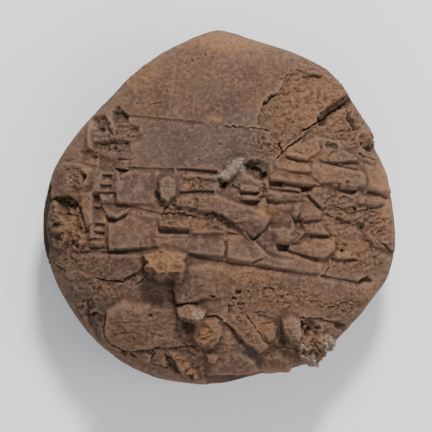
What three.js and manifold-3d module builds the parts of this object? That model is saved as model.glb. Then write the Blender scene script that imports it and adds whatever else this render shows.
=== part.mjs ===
// A round clay tablet shaped like a lens, lying on its back with the written face up.
// The face carries ruled lines and rows of reed-stylus strokes. It is cracked, flakes of
// its skin are lost, and a few stubs of grit and crust stand out of it.
// Millimetres, +Z up, +Y towards the top of the writing, origin in the resting flat.
import * as THREE from "three";
import { mergeVertices } from "three/addons/utils/BufferGeometryUtils.js";
import Module from "manifold-3d";

const wasm = await Module();
wasm.setup();

// Overall form
const WIDTH = 84; // across the tablet
const FACE_RISE = 12.5; // crown of the written face above the widest line of the rim
const BACK_DROP = 15.5; // crown of the back below that line, before the resting flat
const FLAT_CUT = 1; // height taken off the crown of the back by the resting flat
const FACE_FLATNESS = 3.2; // 2 is an ellipse, more is a flatter face with a rounder edge
const BACK_FLATNESS = 2.5;
const SECTORS = 72; // facets round the rim
const RINGS = 22; // facets from the face's crown to the back's

const HALF = WIDTH / 2;
const RIM_Z = BACK_DROP - FLAT_CUT;

// The rim's radius every 15 degrees, anticlockwise from +X, as shares of half the width.
const RIM_SHARES = [
  0.986, 0.964, 0.962, 0.988, 0.99, 0.976, 1.005, 0.955, 0.912, 0.883, 0.907, 0.96,
  0.998, 1.017, 1.014, 1.021, 1.026, 1.01, 0.99, 0.967, 1.01, 0.995, 1.01, 1.026,
];

// Carving. Places are shares of half the width, from the tablet's centre. Sizes are millimetres.
const RULING_WIDTH = 1.1;
const RULING_DEPTH = 0.7;
const RULINGS = [
  [[-0.5, 0.525], [-0.07, 0.478], [0.29, 0.438]],
  [[-0.87, 0.27], [-0.57, 0.228], [-0.02, 0.213]],
  [[-0.72, 0.028], [-0.5, -0.006], [-0.3, -0.034]],
  [[-0.85, -0.239], [-0.43, -0.239], [0.02, -0.293], [0.56, -0.374], [0.79, -0.415]],
];

// A stroke is pressed by the corner of a reed: a broad deep head and a tail that runs out.
const STROKE_KINDS = {
  long: { length: 8.5, head: 2.6, depth: 1.5, turn: -13 },
  short: { length: 2.8, head: 1.4, depth: 0.8, turn: -4 },
  broad: { length: 5, head: 2.3, depth: 1.2, turn: -6 },
  upright: { length: 5.6, head: 2.2, depth: 1.2, turn: -86 },
  slant: { length: 5.4, head: 2.2, depth: 1.2, turn: -52 },
};

// Rows of strokes: each head's place, with its kind.
const STROKE_ROWS = [
  [[0.36, 0.33, "long"], [0.57, 0.29, "long"], [0.66, 0.38, "short"]],
  [[0.29, 0.17, "long"], [0.5, 0.13, "slant"], [0.68, 0.11, "broad"]],
  [[0.13, 0.07, "broad"], [0.28, 0.1, "long"], [0.46, 0.05, "upright"], [0.68, 0.03, "short"]],
  [[-0.31, -0.12, "broad"], [0.26, -0.06, "slant"], [0.44, -0.06, "upright"], [0.52, -0.13, "long"]],
  [[-0.16, -0.15, "short"], [0.33, -0.21, "long"], [0.6, -0.2, "short"]],
];

// Stacks of short strokes at the left edge, closed on the right by one upright.
const STACKS = [
  { x: -0.72, y: 0.5, strokes: 4, kind: "short" },
  { x: -0.67, y: 0.17, strokes: 3, kind: "short" },
  { x: -0.7, y: -0.08, strokes: 3, kind: "short" },
];
const STACK_PITCH = 2; // from one short stroke of a stack down to the next
const STACK_CLOSER = 3.6; // from a stack's heads to its upright

// Cracks: ends, sideways bow as a share of half the width, width and depth in millimetres.
const CRACKS = [
  { from: [0.78, 0.65], to: [0.56, 0.494], bow: 0.01, width: 1.7, depth: 3 },
  { from: [0.575, 0.5], to: [0.307, 0.273], bow: 0.01, width: 0.7, depth: 1.2 },
  { from: [0.443, 0.784], to: [0.244, 0.58], bow: 0, width: 0.6, depth: 0.9 },
  { from: [0.47, 0.756], to: [0.59, 0.744], bow: 0, width: 0.6, depth: 0.8 },
  { from: [-0.69, -0.386], to: [-0.386, -0.352], bow: -0.05, width: 0.6, depth: 1 },
  { from: [-0.744, -0.494], to: [-0.636, -0.608], bow: 0, width: 0.6, depth: 1 },
  { from: [-0.63, -0.585], to: [-0.511, -0.818], bow: -0.06, width: 0.9, depth: 1.4 },
  { from: [-0.511, -0.818], to: [-0.347, -0.869], bow: 0.01, width: 0.7, depth: 1.2 },
  { from: [-0.483, -0.795], to: [-0.125, -0.767], bow: 0.02, width: 0.6, depth: 1 },
  { from: [-0.165, -0.602], to: [0.102, -0.693], bow: 0.03, width: 0.7, depth: 1.2 },
  { from: [0.04, -0.557], to: [0.301, -0.773], bow: -0.02, width: 0.7, depth: 1.2 },
  { from: [0.301, -0.773], to: [0.517, -0.778], bow: 0, width: 0.6, depth: 1 },
  { from: [0.443, -0.602], to: [0.625, -0.636], bow: 0, width: 0.6, depth: 1 },
  { from: [0.63, -0.54], to: [0.83, -0.511], bow: 0.01, width: 0.6, depth: 1 },
  { from: [0.79, 0.29], to: [0.89, 0.268], bow: 0, width: 0.6, depth: 1 },
  { from: [-0.244, 0.085], to: [-0.017, 0.08], bow: 0.015, width: 0.7, depth: 1 },
  { from: [-0.04, -0.011], to: [0.1, -0.09], bow: 0, width: 0.7, depth: 1 },
];
const CRACK_WANDER = 0.35; // how far a crack strays to each side of its line

// Lost flakes of skin: outline in shares of half the width, with the depth lost.
const FLAKES = [
  {
    depth: 0.8,
    outline: [
      [0.44, 0.78], [0.4, 0.735], [0.364, 0.693], [0.295, 0.62], [0.244, 0.58], [0.21, 0.517],
      [0.21, 0.45], [0.32, 0.41], [0.35, 0.335], [0.403, 0.375], [0.46, 0.432], [0.574, 0.5],
      [0.688, 0.602], [0.66, 0.66], [0.6, 0.73], [0.52, 0.77],
    ],
  },
  {
    depth: 1,
    outline: [
      [0.56, 0.47], [0.69, 0.58], [0.75, 0.6], [0.78, 0.5], [0.8, 0.4], [0.7, 0.36], [0.58, 0.37],
      [0.47, 0.4],
    ],
  },
  {
    depth: 0.6,
    outline: [[0.62, -0.02], [0.95, 0.04], [0.97, -0.22], [0.88, -0.4], [0.72, -0.36], [0.66, -0.18]],
  },
];

// Rim spall: the upper edge of the rim broken away between two headings, down to a ledge.
const SPALL_FROM = 174; // degrees anticlockwise from +X
const SPALL_TO = 206;
const SPALL_INSET = 1.9; // from the rim in to the break
const SPALL_LEDGE = 2.2; // ledge above the rim's widest line

// Stubs that stand out of the face and hollows in it: place in shares of half the width,
// sizes across and height or depth in millimetres, turned anticlockwise in degrees.
const STUBS = [
  { at: [-0.32, -0.262], size: [8, 3.4], height: 2.8, turn: -3 },
  { at: [-0.16, -0.585], size: [5.6, 2.6], height: 1.8, turn: 4 },
  { at: [0.415, -0.655], size: [2.8, 4.8], height: 2, turn: 8 },
  { at: [0.6, -0.77], size: [4.6, 3.8], height: 1.8, turn: 35 },
  { at: [0.52, -0.84], size: [3.6, 3.4], height: 1.4, turn: 60 },
  { at: [0.09, 0.235], size: [4.6, 3], height: 1, turn: 30 },
  { at: [-0.28, 0.11], size: [4, 5], height: 0.8, turn: -20 },
  { at: [0.02, 0.0], size: [18, 6], height: 0.7, turn: -20 },
];
const HOLLOWS = [
  { at: [0.22, 0.2], size: [6.4, 3], height: 2.2, turn: -4 },
  { at: [0.035, 0.14], size: [2.2, 2.2], height: 1.6, turn: 0 },
  { at: [0.2, -0.13], size: [5.2, 3.4], height: 1.8, turn: 50 },
  { at: [0.855, 0.36], size: [3.2, 2.2], height: 1.8, turn: 10 },
  { at: [0.775, 0.51], size: [1.6, 5.4], height: 1.4, turn: 12 },
  { at: [-0.83, -0.03], size: [4.8, 5.6], height: 1, turn: 0 },
  { at: [-0.26, -0.84], size: [2.6, 4.2], height: 1.5, turn: 40 },
  { at: [-0.36, -0.44], size: [4, 3], height: 0.6, turn: 0 },
];

const LUMP_SIDES = 9;
const LUMP_UNEVENNESS = 0.14; // share by which a lump's outline swells and shrinks
const STUB_ROOT = 3; // how far a stub reaches down into the clay

const CUTTER_LIFT = 0.8; // how far a cutter starts above the surface
const CUTTER_STEP = 4; // longest stretch of a cutter between two sections
const RUN_OUT_DEPTH = 0.15; // depth left where a stroke or crack runs out
const PRISM_TOP = BACK_DROP + FACE_RISE + 5; // above everything

// Repeatable scatter between -1 and 1.
function scatter(seed) {
  const wave = Math.sin(seed * 12.9898 + 4.1414) * 43758.5453;
  return 2 * (wave - Math.floor(wave)) - 1;
}

// Radius of the rim at a heading in radians: a smooth closed curve through RIM_SHARES.
function rimRadius(heading) {
  const count = RIM_SHARES.length;
  const place = THREE.MathUtils.euclideanModulo(heading / (2 * Math.PI), 1) * count;
  const first = Math.floor(place);
  const t = place - first;
  const [a, b, c, d] = [-1, 0, 1, 2].map((k) => RIM_SHARES[(first + k + count) % count]);
  const share = b + 0.5 * t * (c - a + t * (2 * a - 5 * b + 4 * c - d + t * (3 * (b - c) + d - a)));
  return HALF * share;
}

// Height of the uncarved face over a point inside the rim.
function faceHeight(x, y) {
  const share = Math.min(Math.hypot(x, y) / rimRadius(Math.atan2(y, x)), 1);
  return RIM_Z + FACE_RISE * Math.sqrt(1 - share ** FACE_FLATNESS);
}

// A closed geometry as a solid for joining and cutting.
function solidOf(geometry) {
  const bare = geometry.clone();
  bare.deleteAttribute("normal");
  bare.deleteAttribute("uv");
  const merged = mergeVertices(bare, 1e-4);
  return new wasm.Manifold(
    new wasm.Mesh({
      numProp: 3,
      vertProperties: new Float32Array(merged.attributes.position.array),
      triVerts: new Uint32Array(merged.index.array),
    }),
  );
}

// A solid back as a geometry for a mesh.
function geometryOf(solid) {
  const { vertProperties, triVerts } = solid.getMesh();
  const geometry = new THREE.BufferGeometry();
  geometry.setAttribute("position", new THREE.BufferAttribute(vertProperties, 3));
  geometry.setIndex(new THREE.BufferAttribute(triVerts, 1));
  geometry.computeVertexNormals();
  return geometry;
}

// The uncarved lens: a sphere whose vertices are moved out to the rim and the two domes.
function lensGeometry() {
  const geometry = new THREE.SphereGeometry(1, SECTORS, RINGS).rotateX(Math.PI / 2);
  const position = geometry.attributes.position;
  for (let i = 0; i < position.count; i++) {
    const polar = Math.acos(THREE.MathUtils.clamp(position.getZ(i), -1, 1));
    const heading = Math.atan2(position.getY(i), position.getX(i));
    const above = polar < Math.PI / 2;
    const flatness = above ? FACE_FLATNESS : BACK_FLATNESS;
    const radius = rimRadius(heading) * Math.sin(polar) ** (2 / flatness);
    const height = RIM_Z + (above ? FACE_RISE : BACK_DROP) * Math.cos(polar);
    position.setXYZ(i, radius * Math.cos(heading), radius * Math.sin(heading), Math.max(height, 0));
  }
  return geometry;
}

// A closed skin over rings of points, each ring with as many points as the next.
function loft(rings) {
  const around = rings[0].length;
  const last = (rings.length - 1) * around;
  const faces = [];
  for (let ring = 0; ring < last; ring += around) {
    for (let k = 0; k < around; k++) {
      const next = (k + 1) % around;
      faces.push(ring + k, ring + next, ring + around + next);
      faces.push(ring + k, ring + around + next, ring + around + k);
    }
  }
  for (let k = 1; k + 1 < around; k++) {
    faces.push(0, k + 1, k);
    faces.push(last, last + k, last + k + 1);
  }
  const geometry = new THREE.BufferGeometry();
  geometry.setAttribute("position", new THREE.Float32BufferAttribute(rings.flat(2), 3));
  geometry.setIndex(faces);
  return geometry;
}

// A V-shaped groove along stations {x, y, width, depth} on the face.
function groove(stations) {
  const rings = stations.map(({ x, y, width, depth }, i) => {
    const before = stations[Math.max(i - 1, 0)];
    const after = stations[Math.min(i + 1, stations.length - 1)];
    const length = Math.hypot(after.x - before.x, after.y - before.y);
    const side = [(before.y - after.y) / length, (after.x - before.x) / length];
    const half = (width / 2) * (1 + CUTTER_LIFT / (depth + CUTTER_LIFT));
    const top = faceHeight(x, y) + CUTTER_LIFT;
    return [
      [x - half * side[0], y - half * side[1], top],
      [x, y, faceHeight(x, y) - depth],
      [x + half * side[0], y + half * side[1], top],
    ];
  });
  return solidOf(loft(rings));
}

// A ruled line through points given as shares of half the width, running out at both ends.
function ruling(points) {
  const curve = new THREE.SplineCurve(points.map(([x, y]) => new THREE.Vector2(x * HALF, y * HALF)));
  const steps = Math.ceil(curve.getLength() / CUTTER_STEP);
  return groove(
    curve.getSpacedPoints(steps).map(({ x, y }, i) => {
      const atEnd = i === 0 || i === steps;
      return { x, y, width: RULING_WIDTH, depth: atEnd ? RUN_OUT_DEPTH : RULING_DEPTH };
    }),
  );
}

// A stroke with its head at x, y.
function stroke(x, y, { length, head, depth, turn }) {
  const heading = THREE.MathUtils.degToRad(turn);
  const profile = [
    [0, head, RUN_OUT_DEPTH],
    [0.16, head, depth],
    [0.5, head * 0.55, depth * 0.6],
    [1, head * 0.15, RUN_OUT_DEPTH],
  ];
  return groove(
    profile.map(([share, width, deep]) => ({
      x: x + share * length * Math.cos(heading),
      y: y + share * length * Math.sin(heading),
      width,
      depth: deep,
    })),
  );
}

// A crack from end to end, bowed to one side and straying by CRACK_WANDER.
function crack({ from, to, bow, width, depth }, seed) {
  const [start, end] = [from, to].map(([x, y]) => new THREE.Vector2(x * HALF, y * HALF));
  const along = end.clone().sub(start);
  const side = new THREE.Vector2(-along.y, along.x).normalize();
  const steps = Math.max(2, Math.ceil(along.length() / CUTTER_STEP));
  const stations = [];
  for (let i = 0; i <= steps; i++) {
    const t = i / steps;
    const inside = i > 0 && i < steps;
    const stray = 4 * t * (1 - t) * bow * HALF + (inside ? CRACK_WANDER * scatter(seed * 31 + i) : 0);
    const { x, y } = start.clone().addScaledVector(along, t).addScaledVector(side, stray);
    stations.push({ x, y, width, depth: inside ? depth : depth * 0.5 });
  }
  return groove(stations);
}

// Everything of the face within an outline that lies less than a depth below the surface.
function flake({ outline, depth }, lens) {
  const shape = new THREE.Shape(outline.map(([x, y]) => new THREE.Vector2(x * HALF, y * HALF)));
  const prism = new THREE.ExtrudeGeometry(shape, { depth: PRISM_TOP - RIM_Z, bevelEnabled: false });
  const lowered = solidOf(lens.clone().translate(0, 0, -depth));
  return solidOf(prism.translate(0, 0, RIM_Z)).subtract(lowered);
}

// The upper edge of the rim outside the break line, down to the ledge.
function rimSpall() {
  const shape = new THREE.Shape();
  const headings = [];
  for (let heading = SPALL_FROM; heading <= SPALL_TO; heading += 4) {
    headings.push(THREE.MathUtils.degToRad(heading));
  }
  headings.forEach((heading, i) => {
    const atEnd = i === 0 || i === headings.length - 1;
    const inset = atEnd ? 0 : SPALL_INSET * (1 + 0.25 * scatter(i));
    const radius = rimRadius(heading) - inset;
    shape[i ? "lineTo" : "moveTo"](radius * Math.cos(heading), radius * Math.sin(heading));
  });
  headings.reverse().forEach((heading) => {
    shape.lineTo(1.1 * HALF * Math.cos(heading), 1.1 * HALF * Math.sin(heading));
  });
  const ledge = RIM_Z + SPALL_LEDGE;
  const prism = new THREE.ExtrudeGeometry(shape, { depth: PRISM_TOP - ledge, bevelEnabled: false });
  return solidOf(prism.translate(0, 0, ledge));
}

// A rough blunt lump on the face from {share of size, height above the face} sections.
function lump({ at, size, turn }, sections, seed) {
  const [x, y] = at.map((share) => share * HALF);
  const swells = Array.from({ length: LUMP_SIDES }, (_, k) => 1 + LUMP_UNEVENNESS * scatter(seed * 57 + k));
  const tilt = THREE.MathUtils.degToRad(turn);
  return solidOf(
    loft(
      sections.map(([share, height]) =>
        swells.map((swell, k) => {
          const angle = (2 * Math.PI * k) / LUMP_SIDES;
          const across = share * swell * (size[0] / 2) * Math.cos(angle);
          const up = share * swell * (size[1] / 2) * Math.sin(angle);
          return [
            x + across * Math.cos(tilt) - up * Math.sin(tilt),
            y + across * Math.sin(tilt) + up * Math.cos(tilt),
            faceHeight(x, y) + height,
          ];
        }),
      ),
    ),
  );
}

function stub(each, seed) {
  const sections = [[1, -STUB_ROOT], [1, 0], [0.84, 0.72 * each.height], [0.5, each.height]];
  return lump(each, sections, seed);
}

function hollow(each, seed) {
  const sections = [[0.45, -each.height], [0.8, -0.7 * each.height], [1, 0], [1.1, CUTTER_LIFT]];
  return lump(each, sections, seed);
}

function carvedTablet() {
  const lens = lensGeometry();
  const cuts = [
    ...FLAKES.map((each) => flake(each, lens)),
    rimSpall(),
    ...RULINGS.map(ruling),
    ...STROKE_ROWS.flat().map(([x, y, kind]) => stroke(x * HALF, y * HALF, STROKE_KINDS[kind])),
    ...STACKS.flatMap(({ x, y, strokes, kind }) => {
      const heads = Array.from({ length: strokes }, (_, i) => y * HALF - i * STACK_PITCH);
      const closer = { ...STROKE_KINDS.upright, length: (strokes - 0.4) * STACK_PITCH };
      return [
        ...heads.map((head) => stroke(x * HALF, head, STROKE_KINDS[kind])),
        stroke(x * HALF + STACK_CLOSER, heads[0] + STACK_PITCH / 2, closer),
      ];
    }),
    ...CRACKS.map(crack),
    ...HOLLOWS.map(hollow),
  ];
  const stubs = STUBS.map((each, i) => stub(each, i + HOLLOWS.length));
  return stubs.reduce(
    (tablet, stub) => tablet.add(stub),
    cuts.reduce((tablet, cut) => tablet.subtract(cut), solidOf(lens)),
  );
}

const firedClay = new THREE.MeshStandardMaterial({ color: 0x7d624f, roughness: 0.92, metalness: 0 });
const tablet = new THREE.Mesh(geometryOf(carvedTablet()), firedClay);
tablet.name = "tablet";

const part = new THREE.Group();
part.add(tablet);

export default part;
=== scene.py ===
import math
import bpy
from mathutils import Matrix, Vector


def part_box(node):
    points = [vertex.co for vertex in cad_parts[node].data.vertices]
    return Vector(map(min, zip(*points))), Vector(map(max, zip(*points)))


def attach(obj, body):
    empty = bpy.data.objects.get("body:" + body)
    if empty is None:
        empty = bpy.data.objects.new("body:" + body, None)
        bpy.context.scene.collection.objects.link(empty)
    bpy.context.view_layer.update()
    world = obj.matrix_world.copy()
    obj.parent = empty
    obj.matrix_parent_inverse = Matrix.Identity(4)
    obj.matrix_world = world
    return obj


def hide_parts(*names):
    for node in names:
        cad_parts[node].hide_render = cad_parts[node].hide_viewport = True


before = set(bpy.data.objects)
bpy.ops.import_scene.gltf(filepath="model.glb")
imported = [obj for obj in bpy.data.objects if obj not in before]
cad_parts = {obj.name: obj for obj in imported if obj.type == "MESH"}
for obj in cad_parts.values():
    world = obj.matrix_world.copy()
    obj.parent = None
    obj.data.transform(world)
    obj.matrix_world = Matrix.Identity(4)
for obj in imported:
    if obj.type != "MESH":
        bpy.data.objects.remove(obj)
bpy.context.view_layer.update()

# A round clay tablet that lies on its back with its written face up, seen from straight above.
# Shapes are worked out in millimetres from the middle of the resting flat and turned into
# metres when a mesh is made. +Y is the top of the writing.
from types import SimpleNamespace

import bpy
import numpy as np
from mathutils import Vector, kdtree

MM = 0.001

# The plain body, as the solid has it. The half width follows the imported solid.
WIDEST_SPAN = 2.0034  # of the rim, in half widths
tablet_low, tablet_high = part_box("tablet")
HALF = (tablet_high[0] - tablet_low[0]) / MM / WIDEST_SPAN
FACE_RISE = 12.5  # crown of the written face above the widest line of the rim
BACK_DROP = 15.5  # crown of the back below that line, before the resting flat
FLAT_CUT = 1.0
FACE_FLATNESS = 3.2  # 2 is an ellipse, more is a flatter face with a rounder edge
BACK_FLATNESS = 2.5
RIM_Z = BACK_DROP - FLAT_CUT
RIM_SHARES = [
    0.986, 0.964, 0.962, 0.988, 0.99, 0.976, 1.005, 0.955, 0.912, 0.883, 0.907, 0.96,
    0.998, 1.017, 1.014, 1.021, 1.026, 1.01, 0.99, 0.967, 1.01, 0.995, 1.01, 1.026,
]
# Local bumps of the rim: heading in degrees, width in degrees, height in millimetres.
RIM_BUMPS = [
    (21.5, 3, -0.5), (27.5, 3, 0.45), (52, 4, 0.4), (37, 4, -0.3), (90, 5, 0.3), (200, 4, -0.3),
    (337, 5, 0.4),
]

PROFILE_POINTS = 1500  # on the curve of the face and on that of the back, before it is evened out
FACE_STEP = 0.165  # between neighbouring points of the fine skin on the face
BACK_STEP = 0.42  # and on the back
BACK_START = 6.0  # how far below the rim the skin has grown to the back's step
MOST_TRIANGLES = 194_000

# Marks and forms of the face. Places are millimetres from the middle of the face, right and up,
# a size across is a full width and height, and a turn is in degrees anticlockwise.

# Ruled lines: path, drop, width of the wall above the line and of the slope below it.
RULINGS = [
    ([(-24.3, 22.1), (-18.1, 21.7), (-8.6, 20.7), (-2.9, 19.9)], 0.3, 0.25, 0.9),
    ([(-36.5, 11.5), (-31.5, 10.5), (-28.2, 10)], 0.3, 0.3, 1.1),
    ([(-21.5, 9.7), (-16.5, 9.4), (-10.3, 9.2)], 0.5, 0.35, 1.2),
    ([(-10.5, 9.4), (-5.7, 9.2), (-0.2, 9)], 0.35, 0.4, 0.8),
    ([(-30.3, 1.2), (-25.5, 1.1), (-21.2, 0.7), (-16.5, -0.5), (-12.6, -1.4)], 0.45, 0.3, 1.2),
    ([(-35.6, -10), (-26.7, -10), (-17.4, -9.8)], 0.5, 0.28, 1.1),
    ([(-6.9, -11.2), (1, -12.3), (9.1, -13.6), (16, -14.7), (24.1, -15.7)], 0.5, 0.28, 1),
    ([(23.6, -15.6), (28.9, -16.7), (33.2, -17.5)], 0.7, 0.4, 1.1),
]

# Grooves between forms: path, drop, width of the wall on the left and of the slope on the right.
GROOVES = [
    ([(15.5, 12.3), (18.6, 11.3), (22.2, 11)], 0.6, 0.3, 0.7),
    ([(23.4, 11.8), (24.3, 11), (26.5, 10.5), (29.4, 9.8), (32.9, 9.1)], 0.7, 0.3, 0.9),
    ([(25.5, 12.1), (26.5, 13.2), (27.9, 13.7)], 0.3, 0.3, 0.4),
    ([(23.6, 5.8), (26.5, 6), (27.9, 5.8)], 0.4, 0.25, 0.5),
    ([(27.9, 6), (28, 3.3)], 0.5, 0.3, 0.3),
    ([(11.5, 4.8), (14.8, 4.3), (19.1, 3.6)], 0.6, 0.3, 0.8),
    ([(20.5, 3.2), (22, 1.7), (23.9, 0)], 0.7, 0.4, 0.4),
    ([(24.3, 1), (25.3, 2.3), (27.4, 3)], 0.5, 0.4, 0.5),
    ([(19.8, -5.8), (22.7, -6.2), (25.8, -6.3)], 0.7, 0.3, 0.9),
    ([(17.4, -5.2), (18.9, -6), (16.7, -8.1)], 0.4, 0.4, 0.4),
    ([(13.6, -9.5), (16.5, -9.9), (19.8, -11), (23.4, -11.7)], 0.9, 0.35, 1),
    ([(27.4, -11.9), (29.8, -12), (32.5, -11.8)], 0.7, 0.3, 0.8),
    ([(34.6, 4.1), (37.5, 3.3), (40.1, 2.5)], 0.7, 0.4, 0.8),
    ([(-25.3, -26.2), (-21.7, -26.1), (-17.9, -25.8)], 0.2, 0.2, 0.4),
    ([(-24.3, -28.6), (-19.1, -28.4)], 0.18, 0.2, 0.4),
    ([(-25.9, -8.6), (-25.8, -11.7)], 0.3, 0.25, 0.25),
    ([(-9.5, 3.8), (-5.5, 4.2), (-1, 3.8)], 0.8, 0.35, 0.8),
    ([(-28.2, 12.2), (-28.1, 10.7), (-28.2, 9.3)], 0.4, 0.4, 0.3),
    ([(-38.7, 2.4), (-35.6, 3.1), (-33.4, 1.2), (-31.7, -3.1)], 0.4, 0.4, 0.4),
    ([(-1.9, -0.7), (0.7, -1.8), (4.1, -3.7)], 1.2, 0.5, 0.5),
    ([(11.9, -3.3), (10.3, -5.2), (7.9, -7.4)], 1.3, 0.6, 0.7),
    ([(7.9, -7.4), (6, -5.5), (4.1, -3.8)], 0.8, 0.4, 0.4),
    ([(1.4, -7.4), (1.9, -9.3), (1.1, -11.5)], 0.6, 0.5, 0.5),
    ([(4.1, -4.1), (6.4, -5.5), (9.1, -8.1), (12.2, -11.2)], 0.4, 0.5, 0.4),
    ([(19.6, -5.7), (21.5, -6.9), (20.8, -8.1)], 0.3, 0.3, 0.4),
    ([(28.9, 3.1), (31.3, 1.9), (32.5, 0.7)], 0.4, 0.4, 0.5),
    ([(24.6, -1.2), (27, -2.1), (28.9, -4.1)], 0.4, 0.4, 0.5),
    ([(18.9, 1.4), (18.9, -1.7), (17.4, -2.4)], 0.5, 0.4, 0.5),
    ([(10.3, 6.2), (10.5, 4.1), (9.5, 1.9)], 0.5, 0.5, 0.5),
    ([(25.8, -6.9), (27.7, -8.1), (27.9, -9.8)], 0.4, 0.4, 0.5),
]

# Pressed strokes: head, length, width, turn, slope of the floor. They fill the rows but spell
# nothing.
STROKES = [
    ((-14.3, -4.3), 7.6, 1.8, -3, 0.5), ((26.2, -11.7), 6.4, 1.8, 2, 0.5),
    ((-23.9, 11.9), 4.4, 1.1, -4, 0.6), ((27.4, -2.1), 6, 2.6, -20, 0.4), ((2.9, 5.7), 4, 1.4, -30, 0.6),
    ((1.7, -5.5), 4.4, 1.6, -8, 0.5), ((28.9, 10.7), 3, 0.8, -2, 0.6),
]

# Facets that a reed's side left: outline, height of their low edge and of the high one, and the
# way they rise, in degrees. They lap over each other like shingles.
FACETS = [
    ([(17.2, 16.2), (20, 17.4), (23.4, 16.2), (23.4, 13.6), (20.5, 11.5), (18.6, 13.6)], -0.3, 0.6, -20),
    ([(15.3, 13.6), (17.2, 13.8), (20, 12.4), (20.5, 11.3), (18.4, 11.7), (15.5, 12.4)], 0.1, 0.8, -50),
    ([(25.3, 12.2), (26.2, 13.5), (28.4, 14), (31.7, 12.6), (32.5, 10.9), (28.9, 10.9),
      (26, 11)], 0, 0.9, -90),
    ([(12.9, 10.7), (15.5, 11.8), (19.1, 11.2), (21.5, 9.8), (21.2, 8.7), (16.9, 8.8),
      (13.6, 9.3)], -0.3, 0.8, -90),
    ([(11.7, 7.4), (13.6, 9.1), (17.4, 8.8), (20.8, 7.9), (23.4, 5.6), (19.3, 5.6), (15.3, 6.3),
      (11.9, 6.7)], -0.2, 1.1, -85),
    ([(11.7, 6.4), (14.8, 6.1), (14.8, 5), (11.7, 5.1)], -1.1, -0.4, -90),
    ([(14.9, 6.1), (19, 5.4), (19.1, 4.1), (14.9, 4.7)], -0.6, 0.5, -90),
    ([(19, 5.1), (22, 5), (21.5, 3.9), (19.3, 3.9)], -1.3, -0.9, -90),
    ([(19.1, 2.1), (21.7, 1.2), (23.9, -0.8), (23.4, -2.4), (20, -2.9), (18.6, -1.7)], -0.5, 0.8, -80),
    ([(20.8, 4.9), (24.1, 4.9), (27.7, 4.7), (27.4, 2.4), (25.8, 1.2), (23.7, 0.2),
      (20.8, 3.3)], -0.2, 0.7, -110),
    ([(28, 5.8), (32.2, 5.5), (32.1, 4.5), (28.2, 4.7)], -0.2, 0.7, -90),
    ([(28.2, 4.5), (32.1, 4.3), (31.7, 3), (28.2, 3.3)], -1.1, -0.1, -90),
    ([(28.2, 2.7), (31.7, 2.6), (31.3, 0.7), (28.9, 0), (26.7, 0.7)], -0.3, 0.4, -60),
    ([(32.9, 3.1), (35.1, 3.7), (38.2, 2.5), (38.9, 1.2), (35.8, 0.5), (32.9, 1.4)], -0.4, 0.9, -85),
    ([(19.8, -3.1), (22.2, -2.9), (23.6, -2.7), (25.8, -6.2), (21.7, -5.8),
      (19.8, -5.2)], -0.4, 0.9, -80),
    ([(17.5, -2.3), (19.6, -2.6), (19.8, -5), (17.7, -5.2)], -1, -0.6, -90),
    ([(16.6, -6), (19.6, -5.5), (18.9, -7.4), (16.7, -8.2)], -0.2, 0.6, -90),
    ([(16.7, -8.4), (19.6, -6.2), (23.6, -6.6), (27.2, -7.2), (27, -9.8), (24.6, -11.5), (20.8, -11.2),
      (17.4, -9.7)], -0.4, 0.8, -80),
    ([(13.4, -8.4), (16.2, -8.8), (15.8, -9.9), (13.6, -9.8)], -1.5, -0.7, -90),
    ([(34.4, 13.8), (36.5, 12.8), (37.7, 11.2), (36, 10.7), (34.1, 11.7)], -0.4, 0.7, -90),
    ([(28.9, 0), (31.3, 0.7), (33.2, -1.2), (31.3, -3.1), (29.1, -2.1)], -0.5, 0.6, -80),
    ([(28.4, -3.1), (31.7, -2.6), (32.7, -5), (29.4, -6)], -0.7, 0.3, -80),
    ([(27.2, -10.5), (28.9, -9.1), (31.3, -10), (32.7, -11.7), (27.4, -11.7)], -0.3, 0.7, -90),
    ([(34.1, -5.5), (37, -4.5), (40.3, -6.9), (40.3, -9.8), (36.5, -8.8)], -0.4, 0.7, -110),
    ([(5.2, 1.8), (9.3, 1.7), (8.8, 0.7), (6.2, 0.8)], -0.9, -0.6, -90),
    ([(4.9, 3.8), (9.1, 3.6), (8.9, 3.1), (5.2, 3.2)], -1, -0.7, -90),
    ([(-14.1, -4.8), (-6.9, -4.8), (-6.9, -6), (-13.6, -6)], -0.8, -0.4, -90),
    ([(11, 2.1), (18.9, 1.7), (18.6, 1), (11, 1.2)], -0.7, -0.4, -90),
    ([(-30.5, -8.8), (-26.2, -8.8), (-26.2, -9.8), (-30.1, -9.7)], -0.6, -0.3, -90),
    ([(-9.8, 9.2), (-0.5, 8.9), (-0.2, 8), (-9.8, 8.2)], -0.8, -0.3, -90),
    ([(-27.4, 7.9), (-25.2, 7.8), (-25.2, 6.8), (-27.4, 6.9)], -0.9, -0.4, -90),
    ([(-27.7, 5.6), (-25.2, 5.5), (-25.2, 4.5), (-27.7, 4.7)], -0.9, -0.4, -90),
    ([(-29.6, 3.5), (-28.2, 3.7), (-27.7, 2.4), (-28.6, 1.2), (-29.6, 1.4)], -1.3, -0.6, -20),
    ([(-24.3, 9.4), (-21.2, 9.1), (-23.1, 7.9)], -1.2, -0.6, -90),
    ([(-29.4, 0.2), (-27.7, 0.5), (-25.8, -1.4), (-27, -2.6), (-29.4, -1.7)], -0.9, 0, -80),
    ([(-27.7, 0.8), (-24.1, -1), (-21.2, 0), (-21.5, -1), (-23.9, -2.3), (-26.5, -1.2)], -0.3, 0.6, -60),
    ([(-26.5, -1.7), (-23.9, -2.5), (-21.5, -1.2), (-22, -2.6), (-24.1, -3.5),
      (-26.2, -2.9)], -0.8, -0.4, -90),
    ([(-29.1, -3.3), (-26.8, -3.5), (-26.8, -4.4), (-29.1, -4.3)], -0.9, -0.4, -90),
    ([(-29.1, -5.2), (-26.8, -5.4), (-26.8, -6.3), (-29.1, -6.2)], -0.9, -0.4, -90),
]

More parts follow.
